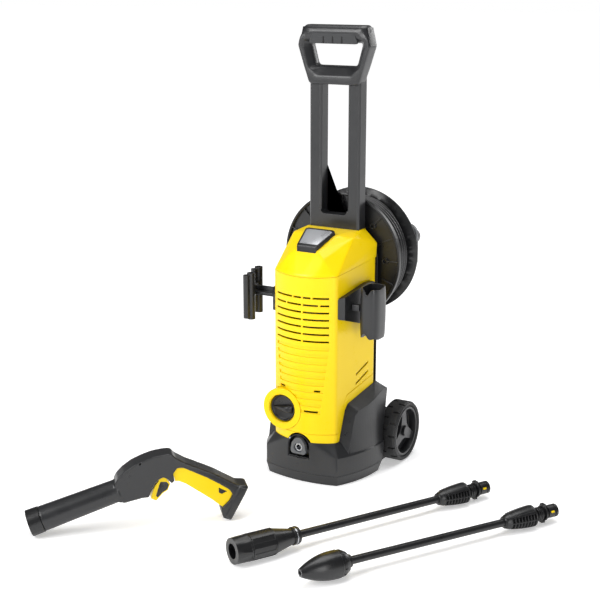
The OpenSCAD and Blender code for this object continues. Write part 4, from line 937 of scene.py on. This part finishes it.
def make_mark(key, lance, body):
    """The yellow mark on one nipple."""
    rings = []
    for radius in MARK_RADII:
        ring = []
        for along, side in ((-1, -1), (1, -1), (1, 1), (-1, 1)):
            a = math.radians(MARK_ANGLE + side * MARK_HALF_ANGLE)
            z = lance[3] - MARK_FROM_END + along * MARK_HALF_LENGTH
            ring.append((radius * math.cos(a), -radius * math.sin(a), z))
        rings.append(ring)
    rings = placed(rings, lance_place(lance))
    solid_piece(f"{key}_mark", rings, body, "black_plastic", finish="yellow_plastic")


def make_lance_marks():
    """The yellow marks on both nipples, the jet's metal mouth and the ring on the turning head's neck."""
    make_mark("vario", VARIO, "vario")
    make_mark("jet", JET, "jet")
    mouth = [(3.7, 0.3), (6.2, -0.02), (6.2, 2), (3.7, 2)]
    turned_piece("jet_orifice", mouth, JET, "jet", finish="steel")
    neck = [(13.8, 115.6), (14.9, 116), (15.2, 117), (14.9, 118), (13.8, 118.4)]
    turned_piece("vario_neck_ring", neck, VARIO, "vario_nozzle", finish="steel")


# ---- hose ----

REEL_Z = 404.65
HOSE_R = 5.2
HOSE_PITCH = 10.6
HOSE_Y0 = 65.1
# Radii of the hose's middle line in its two layers
HOSE_LAYERS = (97.4, 107.3)
HOSE_TURNS = 5.9
TURN_STEPS = 72


def make_hose():
    """The pressure hose, wound on the drum in two layers of turns."""
    turns = HOSE_TURNS
    count = int(turns * TURN_STEPS)
    start, climb = HOSE_LAYERS[0], TURN_STEPS / 6
    points = []
    for layer, radius in enumerate(HOSE_LAYERS):
        for i in range(count + 1):
            share = i / count
            along = share if layer == 0 else 1 - share
            ease = min(1.0, 12 * (1 - share)) if layer == 1 else 1.0
            if layer == 1 and i < climb:
                ease = i / climb
            r = start + (radius - start) * ease
            a = 2 * math.pi * (turns * (layer + share)) + 0.6
            y = HOSE_Y0 + HOSE_PITCH * (turns - 1) * along
            points.append((r * math.cos(a) * MM, y * MM, (REEL_Z + r * math.sin(a)) * MM))
    curve = bpy.data.curves.new("wound_hose", "CURVE")
    curve.dimensions = "3D"
    curve.bevel_depth = HOSE_R * MM
    curve.bevel_resolution = 5
    curve.use_fill_caps = True
    spline = curve.splines.new("POLY")
    spline.points.add(len(points) - 1)
    for point, at in zip(spline.points, points):
        point.co = (*at, 1)
    curve.materials.append(MATERIALS["hose_rubber"])
    piece = bpy.data.objects.new("wound_hose", curve)
    bpy.context.scene.collection.objects.link(piece)
    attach(piece, "reel")
    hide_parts("hose_winding")


# ---- all the pieces ----

# The gun body's voxel size in millimetres, and its rounds of smoothing
GUN_VOXEL = 1.2
GUN_ROUNDS = 18

# CAD nodes that show as they are, with bevelled edges: width of the bevel in millimetres
BEVELS = {
    "front_housing": 0.7,
    "base_tub": 1.2,
    "base_plate": 1.0,
    "rear_housing": 0.8,
    "switch_ring": 1.2,
    "outlet_bezel": 0.4,
    "outlet_release": 1.2,
    "wheel_left": 0.9,
    "wheel_right": 0.9,
    "tread_left": 0.8,
    "tread_right": 0.8,
    "lance_holder": 0.6,
    "lance_holder_plate": 1.2,
    "gun_holder_plate": 1.2,
    "handle_frame": 0.8,
    "reel_spindle": 0.6,
    "reel_front_flange": 0.4,
    "reel_rear_flange": 0.6,
    "crank_arm": 1.4,
    "crank_knob": 1.2,
    "gun_socket": 0.5,
    "gun_trigger": 2.6,
    "gun_release": 1.6,
    "gun_lock": 0.5,
    "vario_lance": 0.4,
    "vario_head": 0.9,
    "jet_lance": 0.4,
    "jet_nozzle": 0.8,
    "water_inlet": 0.6,
    "cable_gland": 0.6,
    "axle_caps": 0.6,
}


def dress_cad():
    for node, piece in NODES.items():
        for place in piece.material_slots:
            place.material = MATERIALS[SLOT_OF[node]]
        if not piece.material_slots:
            piece.data.materials.append(MATERIALS[SLOT_OF[node]])


MATERIALS = make_materials()
make_camera()
make_studio()
dress_cad()
make_grip()
make_hose()
for node, width in BEVELS.items():
    bevelled(f"{node}_skin", node, width)
make_cap()
make_badge()
make_pocket()
make_knob()
make_lever_back()
make_cage(VARIO, "vario", "vario")
make_cage(JET, "jet", "jet")
make_lance_marks()
remeshed("gun_body_skin", ["gun_shell_left", "gun_shell_right"], GUN_VOXEL, GUN_ROUNDS)
